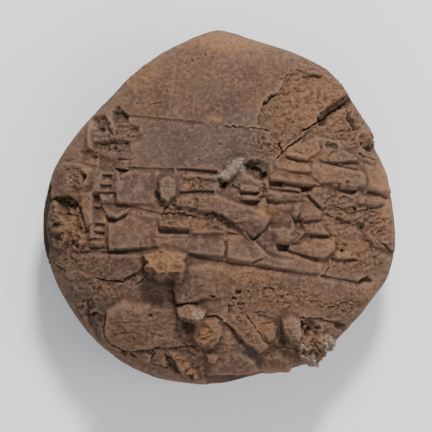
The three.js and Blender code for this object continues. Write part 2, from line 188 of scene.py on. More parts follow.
# Larger forms: outline, height of the low edge and of the high one, the way they rise, in
# degrees, and how far their edges run out.
FORMS = [
    ([(-5.2, 3.1), (-0.5, 3.3), (2.6, 1.9), (7.2, 0.5), (9.8, -0.4), (11.9, -1.9), (11.7, -2.9),
      (11.2, -4.3), (10, -5.7), (7.9, -7.4), (6, -5.7), (4.1, -3.8), (0.7, -1.8), (-1.9, -0.7),
      (-5, -0.5)], 0.5, 2.2, -40, 1.1),
    ([(4.1, -3.3), (7.4, -2.4), (12.2, -2.4), (11.2, -4.5), (7.9, -7.6)], -2.2, 0, 90, 0.7),
    ([(-14.8, -6.9), (-6.9, -6.6), (0.7, -7.3), (1.8, -8.8), (1.2, -11.2), (-6.4, -10.5),
      (-14.1, -9.5)], 0, 0.9, -90, 1.1),
    ([(3.8, -4.1), (6.2, -5.5), (8.8, -8.1), (12.2, -11.2), (7.4, -12.6), (1.9, -11.5),
      (1.9, -8.1)], -0.1, 0.9, -60, 0.9),
    ([(11.7, -11.2), (16.9, -11.9), (24.1, -12.9), (23.9, -15), (16.9, -14.1),
      (8.4, -12.9)], 0.1, 0.7, -80, 0.7),
    ([(22, 10.4), (23.6, 10.9), (27.7, 9.9), (32.9, 8.8), (33.9, 7.9), (33.9, 5), (30.5, 5.1),
      (23.6, 5.8), (22, 7.4), (21.5, 9.1)], 0.6, 1, -90, 1),
    ([(11, 1.3), (18.4, 1.1), (17.4, -2.4), (16.7, -4.5), (12.2, -4.5), (11, -1.4)], -0.9, 0.2, 20, 0.7),
    ([(17.4, 1.3), (19.3, 1.4), (19.1, -0.7), (17.9, -2.4), (16.9, -1.2)], 0.2, 1, 0, 0.7),
    ([(12.9, -5), (14.6, -4.3), (16.7, -4.8), (17.2, -6.9), (16, -8.1),
      (13.6, -7.6)], 0.1, 1.1, -80, 1.4),
    ([(34.6, 10.3), (37, 11.2), (39.4, 10.3), (40.3, 6.9), (40.1, 3.6), (37.5, 3.6), (35.3, 4.8),
      (34.6, 7.4)], 0.2, 0.8, -80, 1.3),
    ([(-10.3, -15.8), (-7.9, -13.6), (-3.3, -12.9), (5, -14.6), (6.7, -17.2), (4.5, -19.8), (0.7, -20.8),
      (-3.6, -21), (-6.9, -22.2), (-9.8, -22), (-10.7, -18.9)], 0.7, 0.6, -90, 1.3),
    ([(-26, -23.6), (-22.7, -21.5), (-16.5, -22.4), (-10.7, -23.6), (-10.5, -30.8), (-15, -32.5),
      (-21.7, -33.2), (-25.1, -31), (-26.7, -27.9)], 0.1, 1.5, 215, 1.8),
    ([(-31.3, -21.7), (-30.5, -25.3), (-28.9, -24.7), (-27, -25.5), (-27.2, -29.4), (-26, -31.5),
      (-28.4, -30.8), (-30.3, -28.6), (-32, -25.3)], -0.8, -0.4, -90, 0.8),
    ([(2.1, -24.3), (5.2, -23.7), (7.6, -26.2), (9.5, -29.4), (12.2, -32), (9.3, -33.4), (6, -31.3),
      (3.3, -27.9)], 0.1, 1.2, -35, 1.5),
    ([(-3.3, -25.5), (-0.2, -25.5), (1.7, -27), (4.3, -29.4), (6.4, -31.7), (2.1, -32.2),
      (-0.7, -30.8)], -0.5, 0.3, -90, 0.9),
    ([(9.1, -24.8), (13.6, -25.8), (15.5, -28.9), (13.6, -31.7), (11.2, -30.5),
      (9.5, -27.4)], -0.3, 0.5, -90, 0.7),
    ([(10.3, -27.2), (11.9, -26.6), (13.4, -27.7), (13.1, -30.1), (11.7, -31),
      (10.7, -29.4)], 0.2, 0.7, -90, 1.2),
    ([(-2.9, -34.1), (-1.4, -33.5), (-0.2, -34.6), (-1, -36), (-2.6, -35.8)], 0.5, 0.9, -90, 0.8),
    ([(-11.7, -33.4), (-9.8, -33.6), (-6.4, -36.8), (-4.8, -39.6), (-6.9, -40.1),
      (-9.8, -37)], 0.3, 1.5, -140, 0.8),
    ([(-12.6, -34.4), (-9.8, -37), (-8.4, -38.9), (-10.3, -38.9), (-12.2, -36.8)], -1.4, -0.6, -60, 0.9),
    ([(-20, -33.9), (-17.4, -33.3), (-15.8, -34.4), (-16.2, -35.8), (-18.9, -35.3)], 0.3, 1, -90, 0.6),
    ([(-35.6, -10.4), (-26, -10.6), (-17.7, -10.7), (-17.2, -12.6), (-18.9, -14.8), (-23.1, -16.5),
      (-28.4, -15.8), (-35.1, -14.1)], 0.4, 0.1, -90, 0.6),
    ([(-38.4, 8.8), (-36.5, 11), (-33.6, 11.1), (-31.5, 10.3), (-30.1, 9.3), (-30.3, 5.5), (-32.2, 2.9),
      (-36, 2.4), (-38.4, 5)], 0, 0.8, 80, 1.4),
    ([(-32.5, 3.6), (-29.6, 4.1), (-29.4, -3.1), (-30.8, -4.3), (-32, -0.7)], 0.4, 0.9, -90, 0.6),
    ([(-39.1, 2.4), (-35.6, 3.3), (-33.2, 1.2), (-31.7, -3.1), (-34.6, -3.8),
      (-37.9, -1.2)], -1.4, -0.5, -80, 0.9),
    ([(-39.9, -1.2), (-36.5, -1), (-33.6, -3.1), (-35.6, -5.5), (-39.4, -5.5)], -0.2, 0.9, -100, 1.2),
    ([(-24, 8.8), (-15, 8.8), (-15.3, 1), (-24, 1.4)], 0.1, 0.7, -90, 0.9),
    ([(-25.8, -3.6), (-21.2, -1.7), (-14.3, -2.1), (-14.1, -8.8), (-25.8, -9.5)], 0.1, 0.7, -90, 0.9),
    ([(-29.6, 8.8), (-24, 8.7), (-24, 3.8), (-29.6, 4.2)], 0.1, 0.5, -90, 0.7),
    ([(-30.3, -2.6), (-25.8, -2.7), (-25.8, -6.7), (-30.3, -6.7)], 0.1, 0.4, -90, 0.7),
    ([(5.7, 10.3), (7.4, 11.2), (9.5, 11.3), (11.5, 10.3), (11.7, 7.4), (10.3, 6.4), (8.4, 7.2),
      (6.7, 8.4)], -1.9, -0.4, -40, 1.2),
    ([(-8.4, 6.8), (-0.7, 6.7), (-0.7, 4.3), (-9.5, 4.3)], -0.4, 0.3, -90, 0.8),
    ([(-6.4, -1.9), (0.7, -2.6), (1.9, -4.5), (1.2, -5.7), (-6.2, -5.7)], -0.4, 0.5, -90, 0.7),
    ([(-29.8, 21.5), (-27.4, 22.2), (-26, 21.2), (-25.5, 18.9), (-27.4, 17.9),
      (-29.6, 18.6)], -0.9, -0.5, -60, 1.3),
    ([(-26.5, 22), (-25.3, 21.5), (-24.1, 18.9), (-24.6, 17.4), (-26, 19.3)], 0.3, 0.7, 0, 0.8),
    ([(-25.1, 22.9), (-22.9, 23.1), (-21.5, 22), (-21.7, 20.5), (-24.6, 20.3)], -1.1, -0.6, -90, 0.9),
    ([(-23.9, 19.7), (-20.8, 19.8), (-18.9, 19.1), (-19.3, 17.7), (-23.1, 17.4)], -0.7, -0.1, -90, 1),
    ([(-25.5, 17.2), (-20.3, 16.9), (-20.3, 16), (-25.5, 16.1)], 0.2, 0.5, -90, 0.8),
    ([(-30.1, 16.8), (-25.8, 16.7), (-26, 15.8), (-29.8, 15.9)], 0.2, 0.5, -90, 0.8),
    ([(-29.8, 15.5), (-25.5, 15.5), (-25.8, 13.4), (-29.1, 13.4)], -0.7, -0.2, -90, 1.2),
    ([(-25.3, 15.6), (-20.5, 15.5), (-20.8, 13.4), (-25.1, 13.4)], -0.6, -0.1, -90, 1.2),
    ([(-20.5, 17.4), (-17.9, 17.4), (-18.6, 15.5), (-20.3, 15.5)], -0.5, 0, -120, 1),
    ([(-31.3, 20.3), (-30.3, 20.5), (-30.1, 14.1), (-31, 14.1)], 0.2, 0.5, 0, 0.9),
    ([(-32.7, 13.6), (-28.9, 13.4), (-29.1, 11.2), (-32.2, 11.2)], -0.5, -0.2, -90, 1.3),
    ([(-28.2, 12.6), (-25.1, 11.9), (-22, 12.2), (-21.7, 11), (-22.4, 9.3),
      (-27.9, 9.3)], -0.5, 0, -90, 1.6),
    ([(10.3, -34.4), (14.6, -34.1), (17.4, -35.3), (16.9, -38.4), (12.2, -39.4),
      (9.3, -37.5)], 0.4, 0.9, -60, 1.4),
    ([(-1.7, -34.1), (4.1, -33.6), (8.4, -35.3), (9.3, -37.7), (4.1, -38.7),
      (-2.6, -39.1)], 0.2, 1.2, -90, 1.5),
    ([(-3.3, -39.6), (3.1, -39.1), (10.3, -38.4), (10.3, -40.3), (4.1, -41.8),
      (-2.6, -42.2)], -1.8, -0.8, -90, 1.2),
    ([(18.9, -27), (21.2, -26), (23.6, -27.9), (23.1, -30.8), (20.3, -30.5)], -0.9, -0.3, -90, 1),
]

# Cracks: path, width, depth, drop of the side to the right of the path.
CRACKS = [
    ([(23.1, 20.4), (24.6, 21.5), (26.7, 23.4), (29.1, 24.9), (32.2, 27)], 3.4, 2.4, 1),
    ([(19.1, 18.5), (21.2, 19.4), (23.6, 21)], 0.6, 1.2, 0.7),
    ([(13.1, 11.2), (14.6, 12.7), (16.9, 14.8), (19.8, 17.2)], 0.5, 1.3, 0.25),
    ([(14.1, 15.5), (14.6, 14.3), (14.9, 12.6)], 0.7, 1.6, 0),
    ([(30.8, 24.1), (31.3, 22.7), (31.7, 21), (32.7, 18.6)], 1.3, 1.8, 0.2),
    ([(10.3, 24.3), (11.5, 25.4), (12.6, 26.4), (13.8, 27.7)], 0.6, 1.2, 0.2),
    ([(13.6, 27.4), (14.8, 28.9), (16.2, 31.6), (17.9, 32)], 0.4, 0.5, 0.25),
    ([(19.6, 32), (20.8, 31.6), (22.7, 31.7), (24.8, 31.3)], 0.5, 0.8, 0.3),
    ([(0.7, 19.4), (5, 19.1), (9.3, 18.5), (12.4, 18.1)], 0.3, 0.7, 0.2),
    ([(32.9, 13.4), (34.4, 12.1), (37.5, 11.3)], 0.4, 1, 0.25),
    ([(38.2, -8.1), (40.1, -9.5), (42, -10.4)], 0.45, 1.2, 0.5),
    ([(-29.2, -16.1), (-27.9, -16.5), (-26, -16.7), (-23.1, -17.2), (-21.7, -16.1),
      (-19.1, -15.2)], 0.4, 1.1, 0.25),
    ([(-19.8, -17.9), (-17.9, -16.5), (-16.2, -14.7)], 0.36, 0.9, 0.15),
    ([(-31, -21.5), (-31, -25.3), (-29.1, -24.8), (-27, -25.7)], 0.6, 1.2, 0.15),
    ([(-26.5, -24.1), (-27, -26.7), (-26.7, -29.6), (-25.1, -31.6), (-23.1, -33.2),
      (-21.5, -34.1)], 0.8, 1.9, 0),
    ([(-26.7, -27), (-26.2, -30.1), (-24.6, -32.5), (-21.7, -34.4)], 1.5, 2.2, 0),
    ([(-21.5, -33.9), (-21, -34.8), (-17.2, -36), (-13.8, -37), (-11.7, -37.5)], 0.7, 1.5, 0.25),
    ([(-21, -33.6), (-19.3, -33.2), (-15, -32.7), (-9.8, -32.8), (-4.5, -32)], 0.36, 1, 0.2),
    ([(-15.8, -32.9), (-15, -34.1), (-16, -35.3)], 0.3, 0.9, 0.1),
    ([(-3.6, -25.2), (-0.7, -25.2), (1.4, -26.7), (4.3, -29.1)], 0.36, 0.9, 0.3),
    ([(-10.7, -18.4), (-10.5, -20.8), (-9.8, -22.2), (-7.2, -22.1), (-5.2, -22.2)], 0.5, 1.1, 0.5),
    ([(5.7, -23.9), (8.1, -26.5), (10, -30.1), (12.9, -32.6), (18.1, -32.9)], 0.38, 1, 0.25),
    ([(7.8, -24.2), (11, -24.3)], 0.26, 0.7, 0.1),
    ([(9.3, -27), (11.2, -26.6), (13.4, -26.5)], 0.26, 0.7, 0.1),
    ([(1.9, -24.6), (2.1, -22.4)], 0.26, 0.6, 0.1),
    ([(18.9, -25.3), (23.1, -26), (26.5, -26.7), (29.4, -26.5)], 0.36, 1, 0.3),
    ([(24.6, -23.9), (27.2, -22.8), (30.5, -21.4)], 0.3, 0.8, 0.2),
    ([(30.8, -22.6), (33.2, -22.2), (35.6, -21.2)], 0.4, 1, 0.4),
    ([(19.1, -26), (20, -27.4), (19.3, -28.9)], 0.4, 1, 0.2),
    ([(-40.6, -12.2), (-38.4, -13.1), (-36.5, -14.3)], 0.4, 1, 0.2),
    ([(-40.1, 1.7), (-38.9, 2.9), (-37.2, 2.6)], 0.5, 1.1, 0),
    ([(-5.1, 2.9), (-5.1, -0.5)], 0.26, 0.7, 0.1),
    ([(24.2, -15.5), (25.5, -14.8), (25.9, -13.5)], 0.3, 0.7, 0.1),
    ([(-16.5, 24.5), (-14.6, 24.8), (-12.6, 25.4)], 0.22, 0.5, 0),
    ([(-3.1, -32.7), (-0.7, -32), (0.5, -29.8)], 0.3, 0.8, 0.2),
    ([(-8.6, -31.5), (-6.4, -34.1), (-5.5, -34.4)], 0.26, 0.7, 0.15),
    ([(28.4, -0.2), (30.8, -1), (34.1, -0.2), (37.5, -1)], 0.3, 0.8, 0.2),
    ([(-14.1, -1.2), (-9.3, -1), (-5.5, -1.9)], 0.34, 0.8, 0.3),
    ([(-15.3, -29.1), (-13.1, -29.8)], 0.2, 0.5, 0),
    ([(30.3, 21.7), (31.7, 22), (32.9, 21)], 0.5, 0.9, 0.2),
]

# Lost skin: outline, depth, width of the edge.
FLAKES = [
    ([(18.6, 33.2), (16.9, 31.3), (15.3, 28.9), (12.4, 26), (10.3, 24.3), (8.8, 21.7), (9.1, 19.6),
      (11.2, 17.9), (13.8, 16.2), (14.8, 14.1), (16.9, 15.8), (19.3, 18.1), (24.1, 21.2), (28.9, 25.5),
      (31.7, 27.2), (28.4, 29.6), (23.6, 31.3)], 0.5, 0.5),
    ([(20, 17.9), (24.6, 20.8), (29.1, 24.6), (31.3, 25.8), (32.7, 23.1), (33.9, 19.3), (31.7, 16.5),
      (27.9, 16.2), (23.6, 16.7), (19.3, 15.8)], 0.85, 0.9),
    ([(-40.1, 5.5), (-40.4, -1.2), (-40.8, -7.4), (-39.9, -14.1), (-43.7, -16), (-45.1, -4.5),
      (-43.2, 6.4)], 2.4, 0.35),
]

# Bites out of the surface: place, size across, depth, turn.
HOLLOWS = [
    ((10.5, 7.9), (2.6, 2.6), 1, 10), ((7.6, 9.8), (2.4, 1.2), 0.5, 10), ((1, 5.7), (2, 1.9), 1.3, 30),
    ((35.1, 14.3), (3, 1.2), 1, -15), ((33.9, 16.9), (2.6, 1.8), 0.5, 30),
    ((34.4, -17.2), (3.6, 1.7), 1.1, 12), ((-36, 0.7), (4.4, 3), 0.8, -10),
    ((-37.7, -4.1), (3, 2.4), 0.7, 0), ((-33.2, -4.5), (2.4, 4), 0.7, 30),
    ((-33.9, -8.1), (3, 2.2), 0.7, 0), ((-31.3, 6.9), (2, 3), 0.6, 0),
    ((-11, -35.8), (3.4, 1.5), 1.2, -38), ((28.6, -27.7), (3.4, 1.8), 1, -8),
    ((20.8, -28.9), (2.6, 2.4), 0.8, 20), ((22, -34.6), (2.4, 2.6), 1.2, 10),
    ((-14.6, 2.9), (1.6, 3), 1, 10), ((-30.3, -22.7), (2.2, 4), 0.5, 10),
    ((-1.7, -20.3), (1.6, 1), 0.7, 0), ((4.1, -19.6), (1.8, 1.3), 0.8, 0), ((3.3, -21), (1.4, 1), 0.6, 0),
    ((5, -22.2), (2.6, 1.2), 0.6, 20), ((6.9, -19.3), (1.2, 0.8), 0.5, 0),
    ((14.8, -30.8), (2.4, 4), 0.4, 10), ((28.9, -9.8), (1.6, 1.4), 1, 0),
    ((-7.9, -27.7), (3.2, 3.6), 0.6, 0), ((29.8, 6.2), (1.6, 0.8), 0.4, 0),
    ((31.7, 0), (2.6, 1.4), 0.6, -20), ((33.6, -4.1), (3.4, 2), 0.6, 20),
    ((-23.9, 23.6), (1.2, 1.2), 0.7, 0), ((-28.2, 19.1), (2.4, 1.2), 0.6, -10),
    ((-23.1, 13.6), (3, 0.8), 0.4, 8), ((-16, -24.6), (1.6, 0.7), 0.5, -25),
    ((-6.9, -38.7), (2.4, 1.2), 0.9, -40), ((-29.4, 12.2), (2.6, 1.2), 0.4, 0),
    ((26.2, 14.8), (4.2, 1.9), 0.55, -10), ((12.3, 26.4), (2.2, 1.1), 0.8, 42),
    ((10.9, 24.9), (1.4, 0.8), 0.5, 40), ((23.7, 21.4), (2, 1.4), 0.7, 30),
    ((36.5, 16), (2.2, 1.4), 0.7, -40), ((9.1, 9.3), (3, 1.4), 0.9, -20),
    ((-26.7, -27.4), (1.6, 4.4), 0.9, 5), ((-23.6, -32.9), (4.4, 1.4), 0.9, -38),
]

# Blocks that stand out of the surface: outline, height at the top edge and at the bottom one,
# width of the walls and of the slope under the bottom edge, and how rough they are, 0 to 1.
BLOCKS = [
    ([(-17.7, -10.3), (-15.8, -9.8), (-13.8, -9.2), (-11.5, -9.8), (-7.6, -10.5), (-8.4, -12.2),
      (-7.8, -13.4), (-8.6, -14.9), (-11.5, -14.2), (-14.1, -14.9), (-15.4, -13.7), (-17.1, -13.4),
      (-16.6, -11.8)], 2.4, 6.6, 0.8, 2.6, 1),
    ([(-10, -22.9), (-7.4, -22.2), (-4.5, -22.7), (-3.3, -24.1), (-4.8, -25.5), (-7.2, -25.5),
      (-9.3, -24.6)], 1.8, 4.4, 0.6, 1.8, 1),
    ([(15, -25.8), (16.7, -24.8), (18.6, -25.5), (18.9, -27.7), (18.1, -29.6), (16.2, -29.4),
      (14.8, -27.9)], 2, 3.4, 0.7, 2.8, 0.8),
    ([(18.4, -31.3), (20.8, -29.8), (24.1, -29.8), (27.2, -30.8), (27, -32.7), (24.3, -34.4),
      (22.4, -37), (20.3, -36.3), (18.4, -33.6)], 0.9, 1.7, 1.2, 0.8, 1),
    ([(0.5, 7.9), (2.4, 10), (4.5, 11.7), (6, 11.7), (5.7, 10.3), (4.1, 8.6), (2.4, 6.9),
      (0.7, 6.7)], 1.5, 2.2, 0.8, 0.8, 1),
    ([(-13.8, 6.2), (-12.2, 7.9), (-10.3, 6.9), (-10, 3.6), (-12.2, 1.4),
      (-14.1, 2.6)], 0.9, 1.6, 1, 0.8, 1),
    ([(-6.2, -27), (-3.8, -25.5), (-0.5, -26.2), (0.5, -29.4), (-1.4, -32.2), (-4.8, -32.2),
      (-6.4, -29.8)], 0.6, 1.5, 1.2, 0.8, 1),
    ([(-34.1, 8.8), (-32.2, 10), (-30.3, 8.6), (-30.5, 5.5), (-32.7, 5),
      (-34.4, 6.7)], 0.2, 0.6, 0.8, 0.4, 1),
    ([(-38.9, -4.8), (-36.5, -3.8), (-35.1, -6.4), (-36.5, -9.1), (-38.9, -8.4)], 0.6, 1.2, 1, 0.6, 1),
    ([(-34.8, -5.5), (-32.2, -5), (-31.3, -7.4), (-33.2, -9.3), (-34.6, -8.4)], 0.5, 1, 0.9, 0.6, 1),
    ([(22, -30.3), (24.1, -29.6), (26.2, -30.5), (25.5, -32.2), (23.1, -32.5)], 0.4, 1, 0.8, 0.6, 1),
    ([(19.8, -33.9), (22, -33.4), (22.9, -35.1), (21.5, -36.3), (19.8, -35.8)], 0.3, 0.9, 0.8, 0.6, 1),
    ([(-10, 2.9), (-6.9, 3.3), (-5, 3.1), (-5, 0), (-7.9, 0), (-10, 0.7)], 0.3, 1, 0.8, 0.8, 0.5),
    ([(5, 5.2), (7.4, 5.6), (9.1, 5), (9.1, 3.9), (6.9, 3.6), (5, 4.2)], 0.5, 1, 0.6, 0.7, 0.3),
    ([(5.5, 3.1), (7.4, 3.3), (9.1, 3), (8.8, 2.1), (7.2, 1.8), (5.7, 2.4)], 0.3, 1, 0.6, 1.3, 0.3),
    ([(-14.1, -2.9), (-10.5, -2.6), (-6.9, -2.9), (-6.9, -4.1), (-10.3, -4.3),
      (-13.8, -4.1)], 0.3, 1.1, 0.5, 1.5, 0.4),
    ([(-8.6, 8), (-4.5, 8), (-0.5, 7.9), (-0.7, 7), (-4.5, 7.2), (-8.4, 7.2)], 0.2, 0.5, 0.6, 0.5, 0.2),
    ([(11.2, 4.2), (14.8, 3.8), (18.9, 3.2), (18.9, 2.6), (14.8, 2.9),
      (11.2, 3.2)], 0.2, 0.9, 0.6, 1.2, 0.2),
    ([(19.8, -3.3), (22, -2.9), (23.6, -3.1), (25.3, -5.2), (23.1, -5.5),
      (20, -5)], 0.1, 0.7, 0.8, 0.8, 0.2),
    ([(-27.7, 3.5), (-24.6, 3.2), (-24.6, 2.1), (-27, 1.8), (-27.9, 2.6)], 0.3, 0.8, 0.6, 1, 0.2),
    ([(-30.3, -7.2), (-26.7, -7.3), (-26.7, -8.1), (-30.1, -8.1)], 0.3, 0.8, 0.6, 1, 0.2),
    ([(12.2, 7.2), (15.5, 7.9), (18.9, 7.4), (22, 6.2), (19.3, 6), (15.5, 6.3)], 0.1, 0.6, 0.8, 1, 0.3),
    ([(35.6, 5.5), (37.9, 6), (39.9, 5), (39.9, 3.8), (37.5, 4.3)], 0.1, 0.5, 0.8, 1, 0.3),
    ([(32.9, 2.9), (35.3, 3.6), (37.9, 2.6), (38.4, 1.7), (35.6, 1.4)], 0.2, 0.8, 0.8, 1, 0.6),
    ([(22.2, 9.8), (26.5, 10), (32.9, 8.6), (33.6, 6.2), (28.9, 6.1),
      (23.6, 6.7)], 0.1, 0.4, 0.9, 1, 0.1),
    ([(17.4, -8.8), (20.5, -7.2), (24.6, -7.2), (26.7, -8.1), (26, -9.8),
      (20.8, -10.3)], 0.1, 0.5, 0.9, 1.2, 0.1),
    ([(19.1, 1.4), (21.5, 1), (23.1, -0.7), (22.2, -1.7), (19.3, -1.9)], 0.1, 0.6, 0.8, 1, 0.2),
    ([(13.4, -5.5), (15, -4.8), (16.7, -5.5), (16.7, -6.9), (14.6, -7.2)], 0.2, 0.6, 0.8, 1.2, 0.2),
    ([(16, 13.1), (17.7, 13.6), (19.8, 12.4), (18.9, 12.1), (16.2, 12.6)], 0.2, 0.6, 0.5, 0.8, 0.1),
    ([(33.9, 18.1), (35.1, 18.9), (36.5, 17.9), (37, 16.2), (36, 15.3), (34.6, 15.5),
      (33.9, 16.7)], 0.3, 0.9, 1, 0.8, 0.4),
]

# Crumbled ground: place, size across, turn, size of its chips, depth.
CRUMBLED = [
    ((-36, -0.7), (7, 9), 0, 1.6, 0.7), ((-32.5, 7.4), (4.6, 5.4), 10, 1, 0.5),
    ((-36.5, -6.7), (6, 7), 0, 1.5, 0.6), ((-33.2, -6.9), (5, 6), 0, 1.3, 0.6),
    ((31.7, -1.2), (19, 9), -14, 1.6, 0.55), ((33.2, -12.6), (13, 6), 4, 1.4, 0.4),
    ((-23.1, 18.1), (9, 6), 0, 1.3, 0.35), ((-27.7, 14.8), (7, 4), 0, 1.2, 0.3),
    ((-23.1, 14.6), (8, 4), 0, 1.2, 0.3), ((15.8, -20), (20, 6), -10, 0.6, 0.16),
    ((23.1, -22), (12, 5), -12, 0.7, 0.16), ((11.2, -17.4), (14, 3), -8, 0.5, 0.14),
    ((6.9, -27.9), (9, 3.6), -52, 1.1, 0.35), ((-27.4, -18.9), (8, 6), -10, 0.8, 0.2),
    ((-35.1, -12.6), (5, 4), 0, 1, 0.25), ((18.4, 23.1), (16, 12), -40, 1.9, 0.35),
    ((12.2, -20), (13, 6), -35, 0.9, 0.3), ((-5.2, 5.7), (9.8, 3.4), -3, 0.8, 0.4),
    ((11.5, 15.3), (9, 6), -10, 1, 0.45), ((-27.4, 20), (5, 4), -8, 1.2, 0.3),
    ((0, -3.1), (8, 4), -25, 1, 0.45), ((3.6, -22.7), (6, 4), -10, 1.2, 0.5),
    ((-10.3, 0), (10, 3.6), -12, 1.1, 0.4), ((-10.3, -3.3), (7, 1.8), 0, 1, 0.5),
    ((-2.6, -3.8), (8, 3), 0, 1, 0.35), ((22.7, -33.4), (10, 8.6), 30, 1.2, 1.3),
    ((-31.3, -24.1), (5, 10), 20, 1.2, 0.3), ((-8.8, -36.5), (8, 3.4), -40, 1.2, 0.6),
    ((-5, -38.2), (6, 4), -24, 1.2, 0.5), ((30.3, 16.7), (8, 5), -20, 1.2, 0.5),
    ((-3.1, -29.4), (6.4, 6.4), 0, 1.3, 0.35), ((32.2, 21.2), (4.5, 9), 20, 1.2, 0.45),
    ((27.9, -6.9), (9, 6), -20, 1.5, 0.35), ((37.5, -5.5), (7, 12), 0, 1.4, 0.45),
    ((30.1, -22.2), (9, 5), 40, 1.3, 0.3), ((22.2, 28.4), (18, 14), -35, 1.2, 0.3),
    ((27.7, 20.3), (12, 7), -35, 1.1, 0.4), ((21.2, -28.9), (5.6, 5), 0, 1, 0.5),
    ((10.3, 3.6), (3, 4), 0, 0.9, 0.5), ((26.5, -32.5), (4, 4), 40, 1.2, 0.6),
    ((35.1, 16), (4.4, 4), 0, 1.1, 0.5), ((8.8, 11), (6, 1.8), 0, 1, 0.5),
]

# Ground that is only worn: place, size across, turn, depth.
WEATHERED = [
    ((7.4, -18.1), (40, 13), -6, 0.16), ((-16.5, -28.9), (32, 22), -20, 0.12),
    ((21.7, 1), (34, 30), 0, 0.12), ((2.6, -32.5), (34, 14), 0, 0.14), ((-3.3, -1.4), (30, 16), 0, 0.2),
    ((-18.9, 31.3), (13, 10), 40, 0.2), ((-33.6, -1.4), (14, 34), 0, 0.2),
    ((26.5, -26.5), (22, 14), 40, 0.22), ((-28.4, -18.1), (18, 18), -30, 0.14),
    ((-28.4, 26), (10, 5), 45, 0.16),
]

# Stains, crust, and dark patches of dirt and painted shade: place, size across, turn, strength.
WARM_STAINS = [
    ((1.2, 39.4), (22, 5), 0, 0.8), ((-18.9, 30.3), (16, 5), 45, 0.7), ((10.7, -0.7), (4.6, 3.8), -20, 1),
    ((26.5, 28.4), (10, 5), -40, 0.6), ((39.4, 4.5), (5, 20), 0, 0.8), ((-1, 21), (5, 1.8), -8, 0.9),
    ((-12.6, -11.7), (10, 6), 0, 1), ((-3.8, -28.4), (6.4, 6), 0, 0.8), ((10.3, -27.7), (5, 5), 0, 0.7),
    ((36, -19.3), (6, 6), 40, 0.7), ((-25.5, 19.6), (3, 7), 30, 0.8), ((-33.2, -1.2), (7, 14), 0, 0.6),
    ((19.3, 10.5), (16, 12), 0, 0.5), ((-7.6, 5.5), (2, 2), 0, 1), ((26.5, -9.8), (18, 12), 0, 0.5),
    ((21.7, 24.8), (14, 12), 0, 0.6), ((5, -15), (22, 6), -8, 0.45), ((15.8, -21.7), (16, 8), 0, 0.4),
    ((-5.5, -4.1), (10, 4), -10, 0.5), ((3.1, -6.4), (5, 5), 0, 0.6), ((-8.1, -36.5), (9, 4), -30, 0.5),
    ((10.7, -38.9), (14, 4), 8, 0.4),
]
GREY_STAINS = [
    ((5.7, 21), (11, 3.6), -4, 1), ((4.5, 16.5), (16, 7), -4, 0.55), ((-26, 17.7), (9, 8), 0, 0.8),
    ((-12.2, 4.5), (4.6, 6), -20, 1), ((-3.1, 27.4), (9, 6), 20, 0.55), ((-20.5, 4.5), (7, 5), 0, 0.6),
    ((-24.1, -9.3), (10, 1.6), 0, 0.8), ((-19.6, -7.4), (7, 5), 0, 0.5), ((6.7, -34.1), (6, 5), -30, 0.8),
    ((-35.8, 0.7), (5, 3), 0, 0.7), ((10.3, 10.3), (6, 3.4), 0, 0.7), ((-32, -21.7), (9, 18), 24, 0.65),
    ((-9.3, -5.7), (8, 2), -4, 0.7), ((-39.4, -9.8), (5, 20), 0, 0.6), ((28.9, -27.7), (4, 3), 0, 0.5),
    ((-2.9, 13.6), (16, 7), 0, 0.5), ((-12.9, 35.6), (10, 6), 30, 0.35), ((-23.6, 14.6), (9, 4), 0, 0.8),
    ((31.7, 5.2), (4, 3), 0, 0.5), ((14.8, -5.5), (3, 2.4), 0, 0.7), ((-24.1, 26), (13, 9), 40, 0.7),
    ((30.1, 2.4), (4, 2.4), 0, 0.6), ((-6.9, 14.8), (34, 12), 0, 0.5),
    ((26.2, 14.8), (3.2, 1.4), -8, 0.7), ((9.3, 9.8), (5, 2.4), -10, 0.6),
]
# Dirt together with painted shade: the shadows cast below the three standing lumps and below the
# tongue-shaped ridge, the shaded strip along the left rim, the shadow under the bottom edge, and darker
# patches along cracks and hollows.
DARK_STAINS_AND_SHADE = [
    ((-41.5, -3.1), (4.4, 26), 2, 1), ((-41, 1.2), (3, 6), 2, 1), ((-23.6, 22.2), (3.6, 2.4), 0, 0.6),
    ((-28.2, 20.3), (3.6, 3.6), 0, 0.5), ((-25.3, 10.7), (6.6, 3), 0, 0.5),
    ((-30.8, 12.4), (4, 2.4), 0, 0.5), ((7.9, -6.9), (5.6, 2.2), 50, 0.7), ((9.8, 8.4), (4, 2.8), 0, 0.6),
    ((-13.4, -18.9), (7, 7), 0, 0.45), ((14.6, -30.8), (3.6, 7), 8, 0.5),
    ((-7.6, -27), (4.6, 4), 0, 0.45), ((3.1, -40.6), (14, 3), -6, 1), ((2.6, -41.3), (12, 2.4), -6, 1),
    ((35.6, 14.8), (2.8, 1.6), -15, 0.9), ((15.3, -9.1), (2.8, 1.4), -10, 0.9),
    ((27.6, 24.1), (7.2, 2.2), 38, 1), ((23.6, 21.4), (2, 1.4), 30, 0.9),
    ((31.9, 21), (1.3, 4.4), 24, 0.7), ((12.4, 26.4), (2.2, 0.8), 42, 0.8),
    ((22.2, 31.7), (3.6, 0.6), -6, 0.8), ((21.7, 19.6), (3.6, 0.8), 28, 0.6),
    ((25.3, 15.2), (1.8, 0.9), 10, 0.5), ((9.1, 9.1), (3, 2), 0, 0.7), ((-26.7, -27), (1.2, 5), 5, 0.9),
    ((-25.8, -30.8), (1.2, 4.2), 28, 0.9), ((-23.4, -33.2), (4.6, 1.1), -38, 0.8),
]
